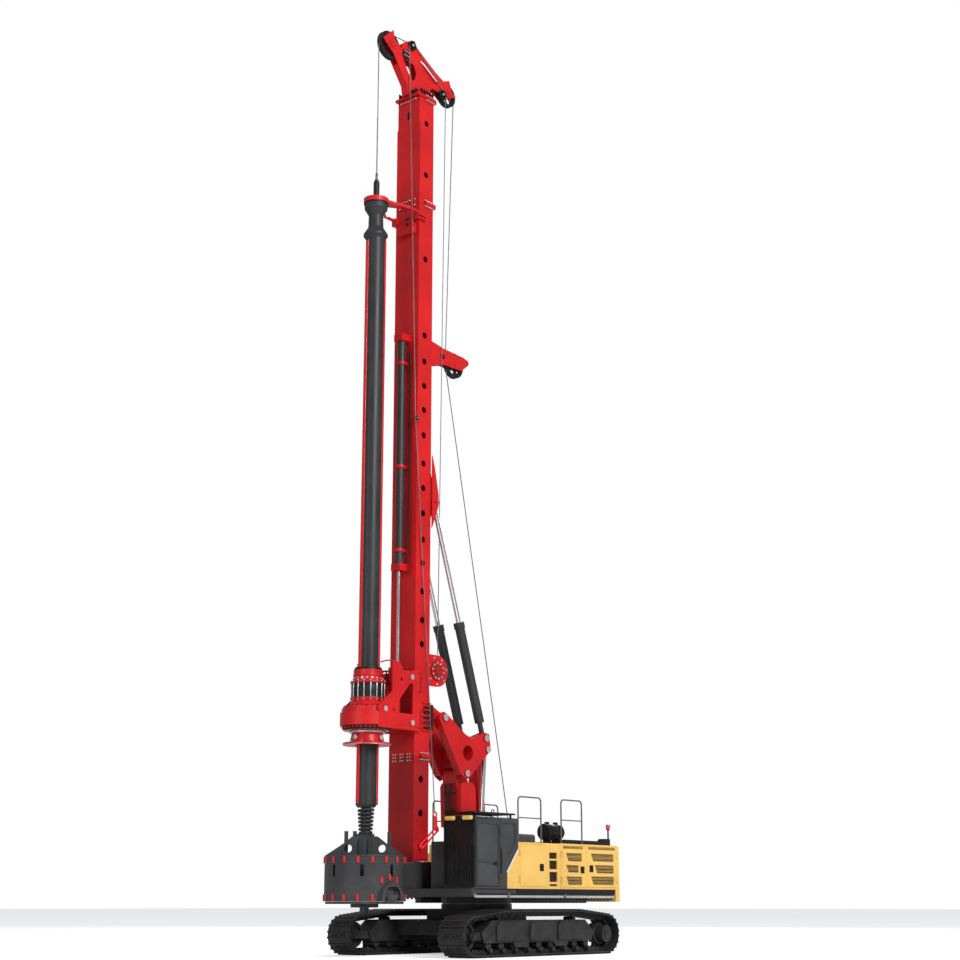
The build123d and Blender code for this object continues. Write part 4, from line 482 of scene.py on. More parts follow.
# Ropes of the main and the auxiliary winch: steel wire rope, six strands laid round a core, held
# taut between the drums, the sheaves and what hangs on them.
ROPE, THIN_ROPE = 0.014, 0.0119
LAY, STRAND_HOLLOW = 0.24, 0.72
rope_steel = coated(
    "rope_steel", (0.16, 0.16, 0.165), 0.4, fade=0.15, streaks=0.15, dust=0.0, metal=0.6
)


def wind(made, turns, reach, steps):
    """Turns a section round its upright axis, while it climbs by reach; without reach it closes."""
    values = {"angle": turns * 2 * pi, "screw_offset": reach, "steps": steps}
    apply_modifier(made, "SCREW", axis="Z", use_merge_vertices=not reach, **values)
    bpy.ops.object.mode_set(mode="EDIT")
    bpy.ops.mesh.select_all(action="SELECT")
    if reach:
        bpy.ops.mesh.fill_holes(sides=12)
    else:
        bpy.ops.mesh.remove_doubles(threshold=0.0001)
    bpy.ops.mesh.normals_make_consistent(inside=False)
    bpy.ops.object.mode_set(mode="OBJECT")


def laid_rope(start, end, radius=ROPE):
    """A straight run of rope between two points: a six-lobed section, twisted along its length."""
    foot, head = point(*start), point(*end)
    reach = (head - foot).length
    bpy.ops.mesh.primitive_circle_add(vertices=12, radius=radius)
    made = bpy.context.object
    for vertex in made.data.vertices:
        if vertex.index % 2:
            vertex.co *= STRAND_HOLLOW
    turns = reach / LAY
    wind(made, turns, reach, max(4, int(turns * 10)))
    return put(made, stand(foot, head - foot))


def bent(points, radius, sides=2, kind="NURBS"):
    """A tube along points of the machine: smooth for a hose, straight from point to point for POLY."""
    shape = bpy.data.curves.new("run", "CURVE")
    shape.dimensions = "3D"
    shape.bevel_depth = radius
    shape.bevel_resolution = sides
    shape.use_fill_caps = True
    shape.resolution_u = 6
    run = shape.splines.new(kind)
    run.points.add(len(points) - 1)
    for held, spot in zip(run.points, points):
        held.co = (*point(*spot), 1)
    if kind == "NURBS":
        run.order_u = 3
        run.use_endpoint_u = True
    made = bpy.data.objects.new("run", shape)
    bpy.context.collection.objects.link(made)
    bpy.ops.object.select_all(action="DESELECT")
    made.select_set(True)
    bpy.context.view_layer.objects.active = made
    bpy.ops.object.convert(target="MESH")
    bpy.ops.object.shade_smooth_by_angle(angle=radians(60))
    return bpy.context.object


def leaving(first, second, side_first, side_second):
    """Where a rope leaves one wheel and meets the next, and the angle of that line's left normal.
    A wheel is (x, z, radius of the rope); its side is 1 right of the rope and -1 left of it."""
    across, rise = second[0] - first[0], second[1] - first[1]
    reach, heading = hypot(across, rise), atan2(rise, across)
    one, two = side_first * first[2], side_second * second[2]
    normal = heading + acos((one - two) / reach)
    out = (first[0] + one * cos(normal), first[1] + one * sin(normal))
    into = (second[0] + two * cos(normal), second[1] + two * sin(normal))
    return out, into, normal


def round_wheel(wheel, start, end, across, steps=10):
    """Points of a rope round a wheel, from one angle to another, at one place across."""
    points = []
    for index in range(steps + 1):
        angle = start + (end - start) * index / steps
        points.append((wheel[0] + wheel[2] * cos(angle), across, wheel[1] + wheel[2] * sin(angle)))
    return points


def at(place, across=0):
    """A point of the machine from its (x, z) place."""
    return (place[0], across, place[1])


MAIN_DRUM = (-1.18, 2.25, 0.334)
GUIDE_WHEEL = (1.0, 15.4, 0.327)
REAR_WHEEL = (1.37, 23.33, 0.327)
TOP_WHEEL = (2.93, 24.18, 0.13)
FRONT_WHEEL = (3.72, 23.9, 0.377)
off_drum, on_guide, low_line = leaving(MAIN_DRUM, GUIDE_WHEEL, 1, -1)
off_guide, on_rear, high_line = leaving(GUIDE_WHEEL, REAR_WHEEL, -1, 1)
_, _, head_line = leaving(REAR_WHEEL, TOP_WHEEL, 1, 1)
_, _, nose_line = leaving(TOP_WHEEL, FRONT_WHEEL, 1, 1)

# From the winch to the guide sheave the rope runs free past the boom and the delta frame.
stages = []
for share in (0.0, 0.22, 0.42, 1.0):
    along = off_drum[0] + (on_guide[0] - off_drum[0]) * share
    stages.append((along, 0.0, off_drum[1] + (on_guide[1] - off_drum[1]) * share))
ROPE_ENDS = (("upper", "boom"), ("boom", "delta_frame"), ("delta_frame", "mast"))
for index, (first, second) in enumerate(ROPE_ENDS):
    run = laid_rope(stages[index], stages[index + 1])
    run.name = "main_rope_%d" % (index + 1)
    run.data.materials.append(rope_steel)
    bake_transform(run)

KELLY_X = 4.1
over_head = round_wheel(REAR_WHEEL, high_line, head_line, 0, 8)
over_head += round_wheel(TOP_WHEEL, head_line, nose_line, 0, 4)
over_head += round_wheel(FRONT_WHEEL, nose_line, 0, 0, 12)
high_rope = [
    bent(round_wheel(GUIDE_WHEEL, low_line + pi, high_line + pi, 0), ROPE, 3, "POLY"),
    laid_rope(at(off_guide), at(on_rear)),
    bent(over_head, ROPE, 3, "POLY"),
    laid_rope((FRONT_WHEEL[0] + FRONT_WHEEL[2], 0, FRONT_WHEEL[1]), (KELLY_X, 0, 18.8)),
]
hang(high_rope, "main_rope_high", rope_steel, "mast")

# The end of the main rope is spliced into a socket on the kelly's swivel and travels with it.
rope_end = [
    laid_rope((KELLY_X, 0, 19.78), (KELLY_X, 0, 21.6), ROPE * 1.25),
    bar((KELLY_X, 0, 19.74), (KELLY_X, 0, 19.98), 0.034, 16),
    bar((KELLY_X, 0, 19.7), (KELLY_X, 0, 19.8), 0.056, 20),
]
hang(rope_end, "kelly_rope_end", rope_steel, "kelly_guide")

# The auxiliary rope runs at one side: up the back of the mast, over two small wheels outside the
# head's plates, down the front, round a guide roller at the mast's edge and to the hook.
ASIDE = 0.15
AUX_DRUM = (1.975, 6.95, 0.244)
REAR_DISC = (1.66, 23.2, 0.12)
TOP_DISC = (2.93, 24.18, 0.12)
EDGE_ROLLER = (3.0, 0.475, 13.4)
ROLLER_X, ROLLER_Y, ROLLER_Z = EDGE_ROLLER[0] - 0.055, EDGE_ROLLER[1], EDGE_ROLLER[2]
HOOK_EYE = (2.145, 0.466, 3.42)
off_aux, on_disc, up_line = leaving(AUX_DRUM, REAR_DISC, 1, 1)
_, _, slope_line = leaving(REAR_DISC, TOP_DISC, 1, 1)
over_side = round_wheel(REAR_DISC, up_line, slope_line, ASIDE, 6)
over_side += round_wheel(TOP_DISC, slope_line, 0, ASIDE, 8)
side_rope = [
    laid_rope(at(off_aux, ASIDE), at(on_disc, ASIDE), THIN_ROPE),
    bent(over_side, THIN_ROPE, 3, "POLY"),
    laid_rope((TOP_DISC[0] + TOP_DISC[2], ASIDE, TOP_DISC[1]), EDGE_ROLLER, THIN_ROPE),
    laid_rope(EDGE_ROLLER, HOOK_EYE, THIN_ROPE),
]
hang(side_rope, "auxiliary_rope", rope_steel, "mast")


def pin(x, z, start, end, radius, sides=24, edge=0.004):
    """A round bar or disc that lies across the machine, from one place across to another."""
    return bar((x, start, z), (x, end, z), radius, sides, edge)


wheels = []
for x, y, z, radius, half in (
    (REAR_DISC[0], ASIDE, REAR_DISC[1], 0.14, 0.026),
    (TOP_DISC[0], ASIDE, TOP_DISC[1], 0.14, 0.026),
    (ROLLER_X, ROLLER_Y, ROLLER_Z, 0.06, 0.022),
):
    wheels += [pin(x, z, y + side * half * 0.45, y + side * half, radius, 40) for side in (1, -1)]
    wheels.append(pin(x, z, y - half, y + half, radius - 0.03, 40))
hang(wheels, "auxiliary_wheels", black_metal, "mast")
caps = [pin(x, z, 0.1, 0.2, 0.035) for x, z, _ in (REAR_DISC, TOP_DISC)]
caps.append(pin(ROLLER_X, ROLLER_Z, 0.43, 0.52, 0.018))
hang(caps, "auxiliary_wheel_pins", zinc, "mast")
bracket = [slab((2.78, 0.427, 13.33), (2.99, 0.447, 13.47)), slab((2.84, 0.385, 13.35), (2.9, 0.432, 13.45))]
hang(bracket, "edge_roller_bracket", rig_red, "mast")

# Windings on the two drums: one full layer of rope, each turn beside the last.
for name, drum, half, radius, turns, body in (
    ("main_rope_winding", MAIN_DRUM, 0.375, ROPE, 26, "main_drum"),
    ("auxiliary_rope_winding", AUX_DRUM, 0.258, THIN_ROPE, 21, "aux_drum"),
):
    bpy.ops.mesh.primitive_circle_add(vertices=8, radius=radius)
    coil = bpy.context.object
    for vertex in coil.data.vertices:
        vertex.co = (drum[2] + vertex.co.x, 0, vertex.co.y)
    wind(coil, turns, 2 * half, turns * 28)
    hang([put(coil, stand(point(*at(drum, -half)), SIDE))], name, rope_steel, body)

# Hook of the auxiliary rope: a red forged swivel, its block and a double link that is shackled to
# a lug on the mast's foot, where it is parked.


def ring(centre, axis, radius, wire):
    """A round ring of bar about an axis."""
    bpy.ops.mesh.primitive_torus_add(
        major_radius=radius, minor_radius=wire, major_segments=28, minor_segments=10
    )
    made = put(bpy.context.object, stand(point(*centre), axis))
    bpy.ops.object.shade_smooth()
    return made


hook_red = coated(
    "hook_red_paint", (0.7, 0.012, 0.016), 0.3, fade=0.08, streaks=0.05, dust=0.0, coat=0.3
)
LINK_HEAD, LINK_FOOT = Vector((2.06, 0.46, 3.02)), Vector((2.64, 0.46, 2.57))
over_link = (LINK_FOOT - LINK_HEAD).normalized().cross(Vector(SIDE)).normalized() * 0.052
hook = [
    ring((2.14, 0.466, 3.37), SIDE, 0.06, 0.02),
    slab((2.062, 0.428, 3.02), (2.168, 0.492, 3.32), 0.024),
    slab((2.03, 0.432, 2.98), (2.12, 0.488, 3.1), 0.02),
    pin(LINK_HEAD.x, LINK_HEAD.z, 0.425, 0.495, 0.05),
    pin(LINK_FOOT.x, LINK_FOOT.z, 0.385, 0.495, 0.05),
]
for shift in (over_link, -over_link):
    hook.append(bar(LINK_HEAD + shift, LINK_FOOT + shift, 0.024, 16))
for end in (LINK_HEAD, LINK_FOOT):
    hook.append(bar(end + over_link * 1.45, end - over_link * 1.45, 0.026, 16))
hang(hook, "hook_and_link", hook_red, "mast")

# Keys of the kelly bar: three red wear strips down its length that the rotary drive's splines turn.
KEY_OUT, KEY_HALF = 0.2865, 0.047
KELLY = (KELLY_X, 0)


def on_tube(one, other, edge, turn):
    """A plate on a tube about the kelly's axis: modelled in front of the axis, then swung round it."""
    made = slab((one[0] - AXIS_X, *one[1:]), (other[0] - AXIS_X, *other[1:]), edge)
    made.matrix_world = Matrix.Translation(point(*KELLY, 0)) @ Matrix.Rotation(radians(turn), 4, "Z")
    return made


foot, head = (0.27, -KEY_HALF, 3.56), (KEY_OUT, KEY_HALF, 18.0)
hang([on_tube(foot, head, 0.003, turn) for turn in (-5, 115, 235)], "kelly_key_strips", hook_red, "kelly")

# Rotary drive: the damper stage is a black rubber sleeve between red rings, with bright tie rods;
# the gearbox is closed by rings of bolts above and below.


def band(low, high, inner, outer, centre=KELLY, steps=64, edge=0.004):
    """A ring with a square section about an upright axis, its edges broken."""
    bpy.ops.mesh.primitive_circle_add(vertices=4, radius=1)
    made = bpy.context.object
    section = ((inner, low), (outer, low), (outer, high), (inner, high))
    for vertex, (out, height) in zip(made.data.vertices, section):
        vertex.co = (out, 0, height)
    wind(made, 1, 0, steps)
    soften(made, edge)
    return put(made, Matrix.Translation(point(*centre, 0)))


def about(radius, count, level, first=0.0):
    """Places evenly round the kelly's axis."""
    spots = []
    for index in range(count):
        angle = radians(first) + 2 * pi * index / count
        spots.append((KELLY_X + radius * cos(angle), radius * sin(angle), level))
    return spots


ROD_RING = 0.412
sleeve_black = coated(
    "sleeve_rubber", (0.012, 0.012, 0.013), 0.5, fade=0.2, dust=0.04, relief=0.4
)
sleeve = [band(6.09, 6.15, 0.335, 0.398), band(6.15, 6.4, 0.335, 0.386), band(6.4, 6.435, 0.335, 0.398)]
hang(sleeve, "damper_sleeve", sleeve_black, "carriage")
rods = [bar((x, y, 6.06), (x, y, 6.5), 0.0135, 12, 0.002) for x, y, _ in about(ROD_RING, 16, 0, 8)]
hang(rods, "damper_rods", zinc, "carriage")
rims = [band(6.04, 6.085, 0.36, 0.435), band(6.44, 6.485, 0.36, 0.435), band(6.62, 6.66, 0.33, 0.372)]
hang(rims, "damper_rims", rig_red, "carriage")
spots = [(spot, UP) for spot in about(ROD_RING, 16, 6.49, 8)]
spots += [(spot, DOWN) for spot in about(ROD_RING, 16, 6.035, 8)]
for turn in range(0, 360, 20):
    way = (cos(radians(turn)), sin(radians(turn)), 0)
    spots.append(((KELLY_X + 0.362 * way[0], 0.362 * way[1], 6.56), way))
bolts("damper_bolts", 0.021, spots, zinc, "carriage")
seal = [band(6.7, 6.79, 0.305, 0.352), band(6.78, 6.83, 0.305, 0.335)]
hang(seal, "collar_seal", black_metal, "carriage")
spots = [(spot, UP) for spot in about(0.56, 28, 5.875, 3)]
bolts("gearbox_lid_bolts", 0.022, spots, black_metal, "carriage")
floor_rings = [band(5.335, 5.395, 0.43, 0.605, steps=72), band(5.3, 5.34, 0.43, 0.585, steps=72)]
hang(floor_rings, "gearbox_bottom_ring", black_metal, "carriage")
spots = [((x, y, 5.368), (x - KELLY_X, y, 0)) for x, y, _ in about(0.606, 36, 0)]
bolts("gearbox_ring_bolts", 0.02, spots, rig_red, "carriage")
hang([band(5.245, 5.285, 0.37, 0.44)], "output_ring", zinc, "drive_adapter")
hang([band(4.951, 4.962, 0.57, 0.593, steps=72)], "adapter_rim", zinc, "drive_adapter")
caps = []
for turn in (4, 94, 184, 274):
    out = Vector((cos(radians(turn)), sin(radians(turn)), 0))
    middle = Vector((KELLY_X, 0, 5.12))
    caps.append(bar(middle + 0.44 * out, middle + 0.462 * out, 0.062))
    caps.append(bar(middle + 0.455 * out, middle + 0.478 * out, 0.02, 6, 0.002))
hang(caps, "adapter_pin_caps", zinc, "drive_adapter")
bolts("adapter_plate_bolts", 0.02, [(spot, UP) for spot in about(0.53, 12, 5.002)], zinc, "drive_adapter")

# Hydraulic motors on the gearbox: cast housings with hoses up to the carriage.
MOTOR_X = 3.45
motors = []
for y in (0.3, -0.3):
    motors += [
        band(6.33, 6.37, 0.07, 0.135, (MOTOR_X, y), 32),
        slab((MOTOR_X - 0.07, y - 0.06, 6.47), (MOTOR_X + 0.07, y + 0.06, 6.56), 0.012),
        bar((MOTOR_X, y, 6.5), (MOTOR_X, y, 6.62), 0.05, 20),
    ]
hang(motors, "motor_heads", black_metal, "carriage")
hoses = []
for y in (0.34, 0.26, -0.26, -0.34):
    rise = [(MOTOR_X, y, 6.58), (MOTOR_X, y, 6.72), (3.3, y, 6.85), (3.12, y, 6.9)]
    hoses.append(bent([*rise, (3.0, y * 1.2, 6.8), (2.97, y * 1.2, 6.55)], 0.02))
hang(hoses, "motor_hoses", hose_black, "carriage")

# Cradle of the carriage: bright caps on the pins that hold the rotary drive, rows of dark bolts on
# the slide shoes, and two thin red arms that steady the kelly above the collar.
SIDES = ((1, SIDE), (-1, FAR))


def on_sides(y, places):
    """Spots of bolts at (x, z) places on both sides of the machine, their heads outwards."""
    return [((x, side * y, z), way) for side, way in SIDES for x, z in places]


caps = []
for side in (1, -1):
    for x, z in ((4.134, 5.8), (3.198, 6.65), (3.17, 5.53)):
        caps.append(pin(x, z, 0.638 * side, 0.652 * side, 0.066, 28))
        caps.append(pin(x, z, 0.65 * side, 0.662 * side, 0.024, 6, 0.002))
hang(caps, "cradle_pin_caps", zinc, "carriage")
levels = (5.44, 5.54, 5.64, 5.74, 5.84, 6.36, 6.46, 6.56, 6.66, 6.76)
spots = on_sides(0.472, [(x, z) for x in (2.745, 2.835) for z in levels])
bolts("shoe_bolts", 0.036, spots, black_metal, "carriage")
places = [(2.93, z) for z in (5.42, 5.9, 6.1, 6.3, 6.55, 6.78)] + [(x, 5.44) for x in (3.5, 3.7, 3.9)]
bolts("cradle_plate_bolts", 0.018, on_sides(0.622, places), rig_red, "carriage")
reach = ((3.62, 0.6, 6.97), (3.75, 0.5, 7.02), (3.95, 0.42, 7.0), (4.08, 0.4, 6.95))
arms = [bent([(x, side * y, z) for x, y, z in reach], 0.018, 3) for side in (1, -1)]
hang(arms, "steady_arms", rig_red, "carriage")

# Mast: the pads that the delta frame bears on have dark ribs, the front carries a small inspection
# plate and two black patches of painted shade that stand for two holes, and the foot's cover is
# bolted on.


def both(one, other, edge):
    """The same plate on both sides of the machine."""
    plates = []
    for side in (1, -1):
        plates.append(slab((one[0], side * one[1], one[2]), (other[0], side * other[1], other[2]), edge))
    return plates


def round_pin(x, y, z, radius, turns, way):
    """Spots of bolts round a pin that lies across the machine, at turns in degrees."""
    return [((x + radius * cos(radians(turn)), y, z + radius * sin(radians(turn))), way) for turn in turns]


ribs = both((2.19, 0.397, 5.42), (2.24, 0.438, 6.07), 0.008)
for index in range(5):
    level = 5.46 + 0.125 * index
    ribs += both((2.2, 0.398, level), (2.52, 0.452, level + 0.05), 0.008)
hang(ribs, "mast_pad_ribs", black_metal, "mast")
plates = [
    slab((2.874, -0.045, 22.02), (2.888, 0.03, 22.24), 0.004),
    # These two small black plates are painted shade that stands for two dark holes in the block below the
    # upper flange.
    slab((2.994, 0.05, 18.82), (3.004, 0.15, 18.9), 0.004),
    slab((2.994, 0.05, 18.97), (3.004, 0.15, 19.05), 0.004),
]
hang(plates, "mast_front_plate_and_painted_hole_shade", black_metal, "mast")
# The foot's bolts wear the darker red of painted shade.
spots = [((2.873, y, 2.5 + 0.13 * index), FRONT) for y in (-0.24, 0.24) for index in range(16)]
bolts("mast_foot_bolts", 0.012, spots, shaded_red, "mast")
spots = on_sides(0.41, [(x, z) for x in (2.4, 2.545, 2.69) for z in (2.36, 2.79, 3.23)])
bolts("foot_cover_bolts", 0.015, spots, rig_red, "mast")
# Stiffeners under the head: short dark gussets between the mast's top flange and the head's feet.
gussets = both((2.3, 0.19, 22.66), (2.88, 0.215, 22.88), 0.004)
for index in range(6):
    y = -0.3 + 0.12 * index
    gussets.append(slab((2.885, y - 0.012, 22.66), (2.96, y + 0.012, 22.84), 0.004))
for index in range(5):
    x = 2.36 + 0.11 * index
    gussets += both((x - 0.012, 0.2, 22.68), (x + 0.012, 0.43, 22.86), 0.004)
hang(gussets, "head_gussets", black_metal, "mast")
# Limit switch of the hook, in the head, on a small bracket.
switch = [
    slab((3.05, 0.112, 23.72), (3.28, 0.165, 23.94), 0.01),
    bar((3.1, 0.16, 23.7), (3.1, 0.16, 23.58), 0.022, 16),
    bar((3.2, 0.16, 23.74), (3.2, 0.16, 23.6), 0.022, 16),
]
hang(switch, "limit_switch", black_metal, "mast")
spots = [((x, 0.166, z), SIDE) for x in (3.09, 3.165, 3.24) for z in (23.77, 23.89)]
bolts("limit_switch_bolts", 0.014, spots, zinc, "mast")
spots = []
for side, way in SIDES:
    for x, z, _ in (FRONT_WHEEL, REAR_WHEEL):
        spots += round_pin(x, 0.112 * side, z, 0.1, range(0, 360, 60), way)
bolts("sheave_pin_bolts", 0.014, spots, black_metal, "mast")

# Crowd cylinder: clamps that hold its barrel to the mast's front, and the two pipes beside it.
CROWD = (3.05, 0)
clamps = []
for level in (9.9, 12.1, 14.9):
    clamps.append(band(level, level + 0.09, 0.1025, 0.125, CROWD, 40))
    clamps.append(slab((2.877, -0.1, level), (2.96, 0.1, level + 0.09), 0.008))
hang(clamps, "crowd_clamps", rig_red, "mast")
pipes = []
for run in (
    [(3.02, 0.13, 9.75), (2.94, 0.16, 9.8), (2.92, 0.17, 10.1), (2.92, 0.17, 15.0), (2.92, 0.16, 15.3)],
    [(3.02, 0.13, 15.35), (2.94, 0.2, 15.3), (2.92, 0.21, 15.0), (2.92, 0.21, 9.6), (2.92, 0.2, 9.3)],
):
    pipes.append(bent(run, 0.014))
hang(pipes, "crowd_pipes", black_metal, "mast")

# Auxiliary winch: bright bolts round the bearing housing in its near cheek and a motor on the far side.
x, z, _ = AUX_DRUM
# The bearing housing wears the darker red of painted shade.
housing = [pin(x, z, 0.36, 0.4, 0.25, 48, 0.01), pin(x, z, 0.39, 0.435, 0.15, 40, 0.01)]
hang(housing, "winch_bearing", shaded_red, "mast")
spots = round_pin(x, 0.402, z, 0.2, range(10, 370, 36), SIDE)
spots += round_pin(x, 0.367, z, 0.34, range(20, 330, 50), SIDE)
bolts("winch_bolts", 0.022, spots, zinc, "mast")
motor = [
    pin(x, z, -0.36, -0.42, 0.26, 48, 0.012),
    pin(x, z, -0.41, -0.62, 0.14, 40, 0.02),
    slab((x - 0.09, -0.72, z - 0.09), (x + 0.09, -0.6, z + 0.09), 0.02),
]
hang(motor, "auxiliary_winch_motor", black_metal, "mast")

# Delta frame: bright end caps on its four pins, each held by small screws.
caps, spots = [], []
for side, way in SIDES:
    for x, z in ((1.78, 5.787), (0.17, 5.385), (0.1, 5.1), (0.93, 4.445)):
        caps.append(pin(x, z, 0.49 * side, 0.508 * side, 0.085, 32, 0.006))
        spots += round_pin(x, 0.51 * side, z, 0.05, (90, 210, 330), way)
hang(caps, "delta_pin_caps", zinc, "delta_frame")
bolts("delta_cap_screws", 0.011, spots, zinc, "delta_frame")
# Hoses that lie on the boom's front, and the clips that hold them.
hoses = []
for y in (-0.13, -0.07, 0.07, 0.13):
    run = [(1.0, y, 2.75), (1.07, y, 2.95), (1.07, y, 3.6), (1.09, y, 4.1), (1.12, y, 4.2)]
    hoses.append(bent(run, 0.019))
hang(hoses, "boom_hoses", hose_black, "boom")
clips = [slab((1.02, -0.17, level), (1.1, 0.17, level + 0.035), 0.006) for level in (3.05, 3.5, 3.95)]
hang(clips, "boom_hose_clips", black_metal, "boom")

# Guide at the kelly's head: dark bolts round its ring and on its shoes, and its bearing rings.
spots = [(spot, UP) for spot in about(0.27, 12, 19.232, 15)]
bolts("guide_ring_bolts", 0.024, spots, black_metal, "kelly_guide")
bearing = [band(19.228, 19.26, 0.085, 0.17, steps=40), band(19.07, 19.108, 0.17, 0.325, steps=56)]
hang(bearing, "guide_bearing", black_metal, "kelly_guide")
spots = on_sides(0.483, [(x, 19.04) for x in (2.72, 2.8, 2.88, 2.95)])
bolts("guide_shoe_bolts", 0.022, spots, black_metal, "kelly_guide")

# Drilling bucket: hard-faced wear strips, painted red, and grey rims round its top and its foot.
HATCH_TURN, HATCH_HALF = 81, 21
places = [(68, 1.77), (81, 1.83), (94, 1.77)]
for index in range(18):
    turn = 34.5 + 20 * index
    places.append((turn, 2.24))
    if abs(turn - HATCH_TURN) > HATCH_HALF:
        places.append((turn, 1.375))
pads = []
for turn, level in places:
    pads.append(on_tube((0.962, -0.0285, level - 0.072), (0.986, 0.0285, level + 0.072), 0.006, turn))
hang(pads, "bucket_wear_strips", hook_red, "kelly")
rims = [
    band(2.3, 2.342, 0.925, 0.968, steps=96, edge=0.006),
    band(1.29, 1.325, 0.925, 0.97, steps=96, edge=0.006),
]
hang(rims, "bucket_rims", bucket_grey, "kelly")

# Tracks: each shoe is bolted to its chain link with four bolts; the links turn on pins that show
# at the sides of the chain.
HANDS = ((1, "left"), (-1, "right"))
GAUGE, SHOE_COUNT = 3.67, 48
TRACK_WHEELS = ((2.64, 0.49, 0.425), (1.48, 0.925, 0.12), (-1.48, 0.925, 0.12), (-2.61, 0.5, 0.435))


def belt_runs(wheels):
    """Arcs and straight runs of a belt round its wheels, each with its length."""
    pairs = list(zip(wheels, wheels[1:] + wheels[:1]))
    normals = []
    for (x, z, radius), (next_x, next_z, next_radius) in pairs:
        heading = atan2(next_z - z, next_x - x)
        reach = dist((x, z), (next_x, next_z))
        normals.append(heading - pi / 2 + asin((radius - next_radius) / reach))
    runs = []
    for index, ((x, z, radius), (next_x, next_z, next_radius)) in enumerate(pairs):
        start, end = normals[index - 1], normals[index]
        sweep = (end - start) % (2 * pi)
        runs.append((sweep * radius, "arc", (x, z, radius, start, sweep)))
        first = (x + radius * cos(end), z + radius * sin(end))
        last = (next_x + next_radius * cos(end), next_z + next_radius * sin(end))
        runs.append((dist(first, last), "run", (first, last, end)))
    return runs


TRACK_RUNS = belt_runs(TRACK_WHEELS)


def on_belt(share, height):
    """A point of the belt at a share of its length, its height over the inner side, and the way out."""
    rest = (share % 1.0) * sum(run[0] for run in TRACK_RUNS)
    for length, kind, values in TRACK_RUNS:
        if rest <= length:
            break
        rest -= length
    if kind == "arc":
        x, z, radius, start, sweep = values
        angle = start + sweep * rest / length
        place = (x + radius * cos(angle), z + radius * sin(angle))
    else:
        first, last, angle = values
        part = rest / length
        place = (first[0] + (last[0] - first[0]) * part, first[1] + (last[1] - first[1]) * part)
    way = (cos(angle), sin(angle))
    return (place[0] + height * way[0], place[1] + height * way[1]), way


for side, hand in HANDS:
    middle = side * GAUGE / 2
    poses = []
    for index in range(SHOE_COUNT):
        (x, z), way = on_belt((index + 0.44) / SHOE_COUNT, 0.031)
        for across in (-0.19, -0.09, 0.09, 0.19):
            poses.append(stand(point(x, middle + across, z), (way[0], 0, way[1])))
    hang(copies(bolt(0.021), poses), "track_bolts_" + hand, black_metal, "undercarriage")
    poses = []
    for edge, way in SIDES:
        for index in range(SHOE_COUNT):
            for share in (0.2, 0.8):
                (x, z), _ = on_belt((index + share) / SHOE_COUNT, -0.045)
                poses.append(stand(point(x, middle + edge * 0.125, z), way))
    bpy.ops.mesh.primitive_cylinder_add(vertices=10, radius=0.022, depth=0.024)
    stub = bpy.context.object
    apply_modifier(stub, "BEVEL", width=0.004, segments=1, limit_method="ANGLE", angle_limit=radians(60))
    hang(copies(stub, poses), "track_pins_" + hand, track_steel, "undercarriage")

# Track frames: bolted round covers on the rollers' ends, the idlers and the final drives.
COVER_REACH = 0.33
covers, spots = [], []
for side, way in SIDES:
    face = side * GAUGE / 2
    for index in range(9):
        x = -1.93 + 3.86 * index / 8
        covers.append(pin(x, 0.155, face + side * 0.2, face + side * 0.275, 0.062, 20, 0.01))
    out, cap = face + side * COVER_REACH, face + side * (COVER_REACH + 0.03)
    for x, z, radius in ((2.64, 0.49, 0.12), (-2.61, 0.5, 0.2)):
        covers.append(pin(x, z, face + side * 0.2, out, radius, 40, 0.012))
        covers.append(pin(x, z, out, cap, radius * 0.6, 32, 0.01))
        spots += round_pin(x, out + side * 0.001, z, radius * 0.8, range(0, 360, 36), way)
hang(covers, "roller_covers", frame_grey, "undercarriage")
bolts("final_drive_bolts", 0.016, spots, black_metal, "undercarriage")

# Engine house: door latches, louvre screens of dark mesh behind the openings, and the dark sill.
screen_brown = coated(
    "louvre_screen", (0.03, 0.018, 0.012), 0.6, fade=0.3, dust=0.2, relief=0.8
)
for side, hand in HANDS:
    for number, x, z in ((1, -2.508, 2.095), (2, -2.898, 2.132)):
        plate = slab((x - 0.08, side * 1.502, z - 0.09), (x + 0.08, side * 1.52, z + 0.09), 0.012)
        grip = slab((x - 0.022, side * 1.516, z - 0.05), (x + 0.022, side * 1.534, z + 0.05), 0.008)
        latch = "latch_%s_%d" % (hand, number)
        hang([plate, grip], latch, black_metal, "housing_door_%s_%d" % (hand, number))
plate = slab((-0.864, 1.502, 2.04), (-0.704, 1.52, 2.22), 0.012)
grip = slab((-0.806, 1.516, 2.08), (-0.762, 1.536, 2.18), 0.008)
hang([plate, grip], "latch_cabinet", black_metal, "cabinet_door")
for side, hand in HANDS:
    for number, rear, fore in ((1, -2.63, -1.69), (2, -3.97, -2.77)):
        mesh_plates = []
        for low, high in ((1.7, 2.53), (2.6, 2.69)):
            mesh_plates.append(slab((rear, side * 1.458, low), (fore, side * 1.468, high), 0.003))
        screen = "louvre_screen_%s_%d" % (hand, number)
        hang(mesh_plates, screen, screen_brown, "housing_door_%s_%d" % (hand, number))
# Woven wire over the louvres: flat wires that lean as the fields do, on the doors' outer faces.
# A field is its door's number, its fore and rear end at its head, its foot and its head.
wire_brown = coated("louvre_wire", (0.09, 0.055, 0.025), 0.55, fade=0.3, dust=0.15, relief=0.3)
WIRE_PITCH, WIRE_HALF, FIELD_LEAN = 0.03, 0.005, 0.09
UPRIGHT_FACES, LEVEL_FACES = (1.5035, 1.5065), (1.505, 1.508)
FIELDS = (
    (1, -1.823, -2.474, 1.72, 1.915),
    (1, -1.823, -2.33, 2.03, 2.205),
    (1, -1.823, -2.474, 2.315, 2.51),
    (1, -1.69, -2.53, 2.628, 2.68),
    (2, -2.9, -3.89, 1.73, 1.93),
    (2, -3.07, -3.89, 2.025, 2.225),
    (2, -2.9, -3.89, 2.33, 2.515),
    (2, -2.78, -3.96, 2.628, 2.68),
)


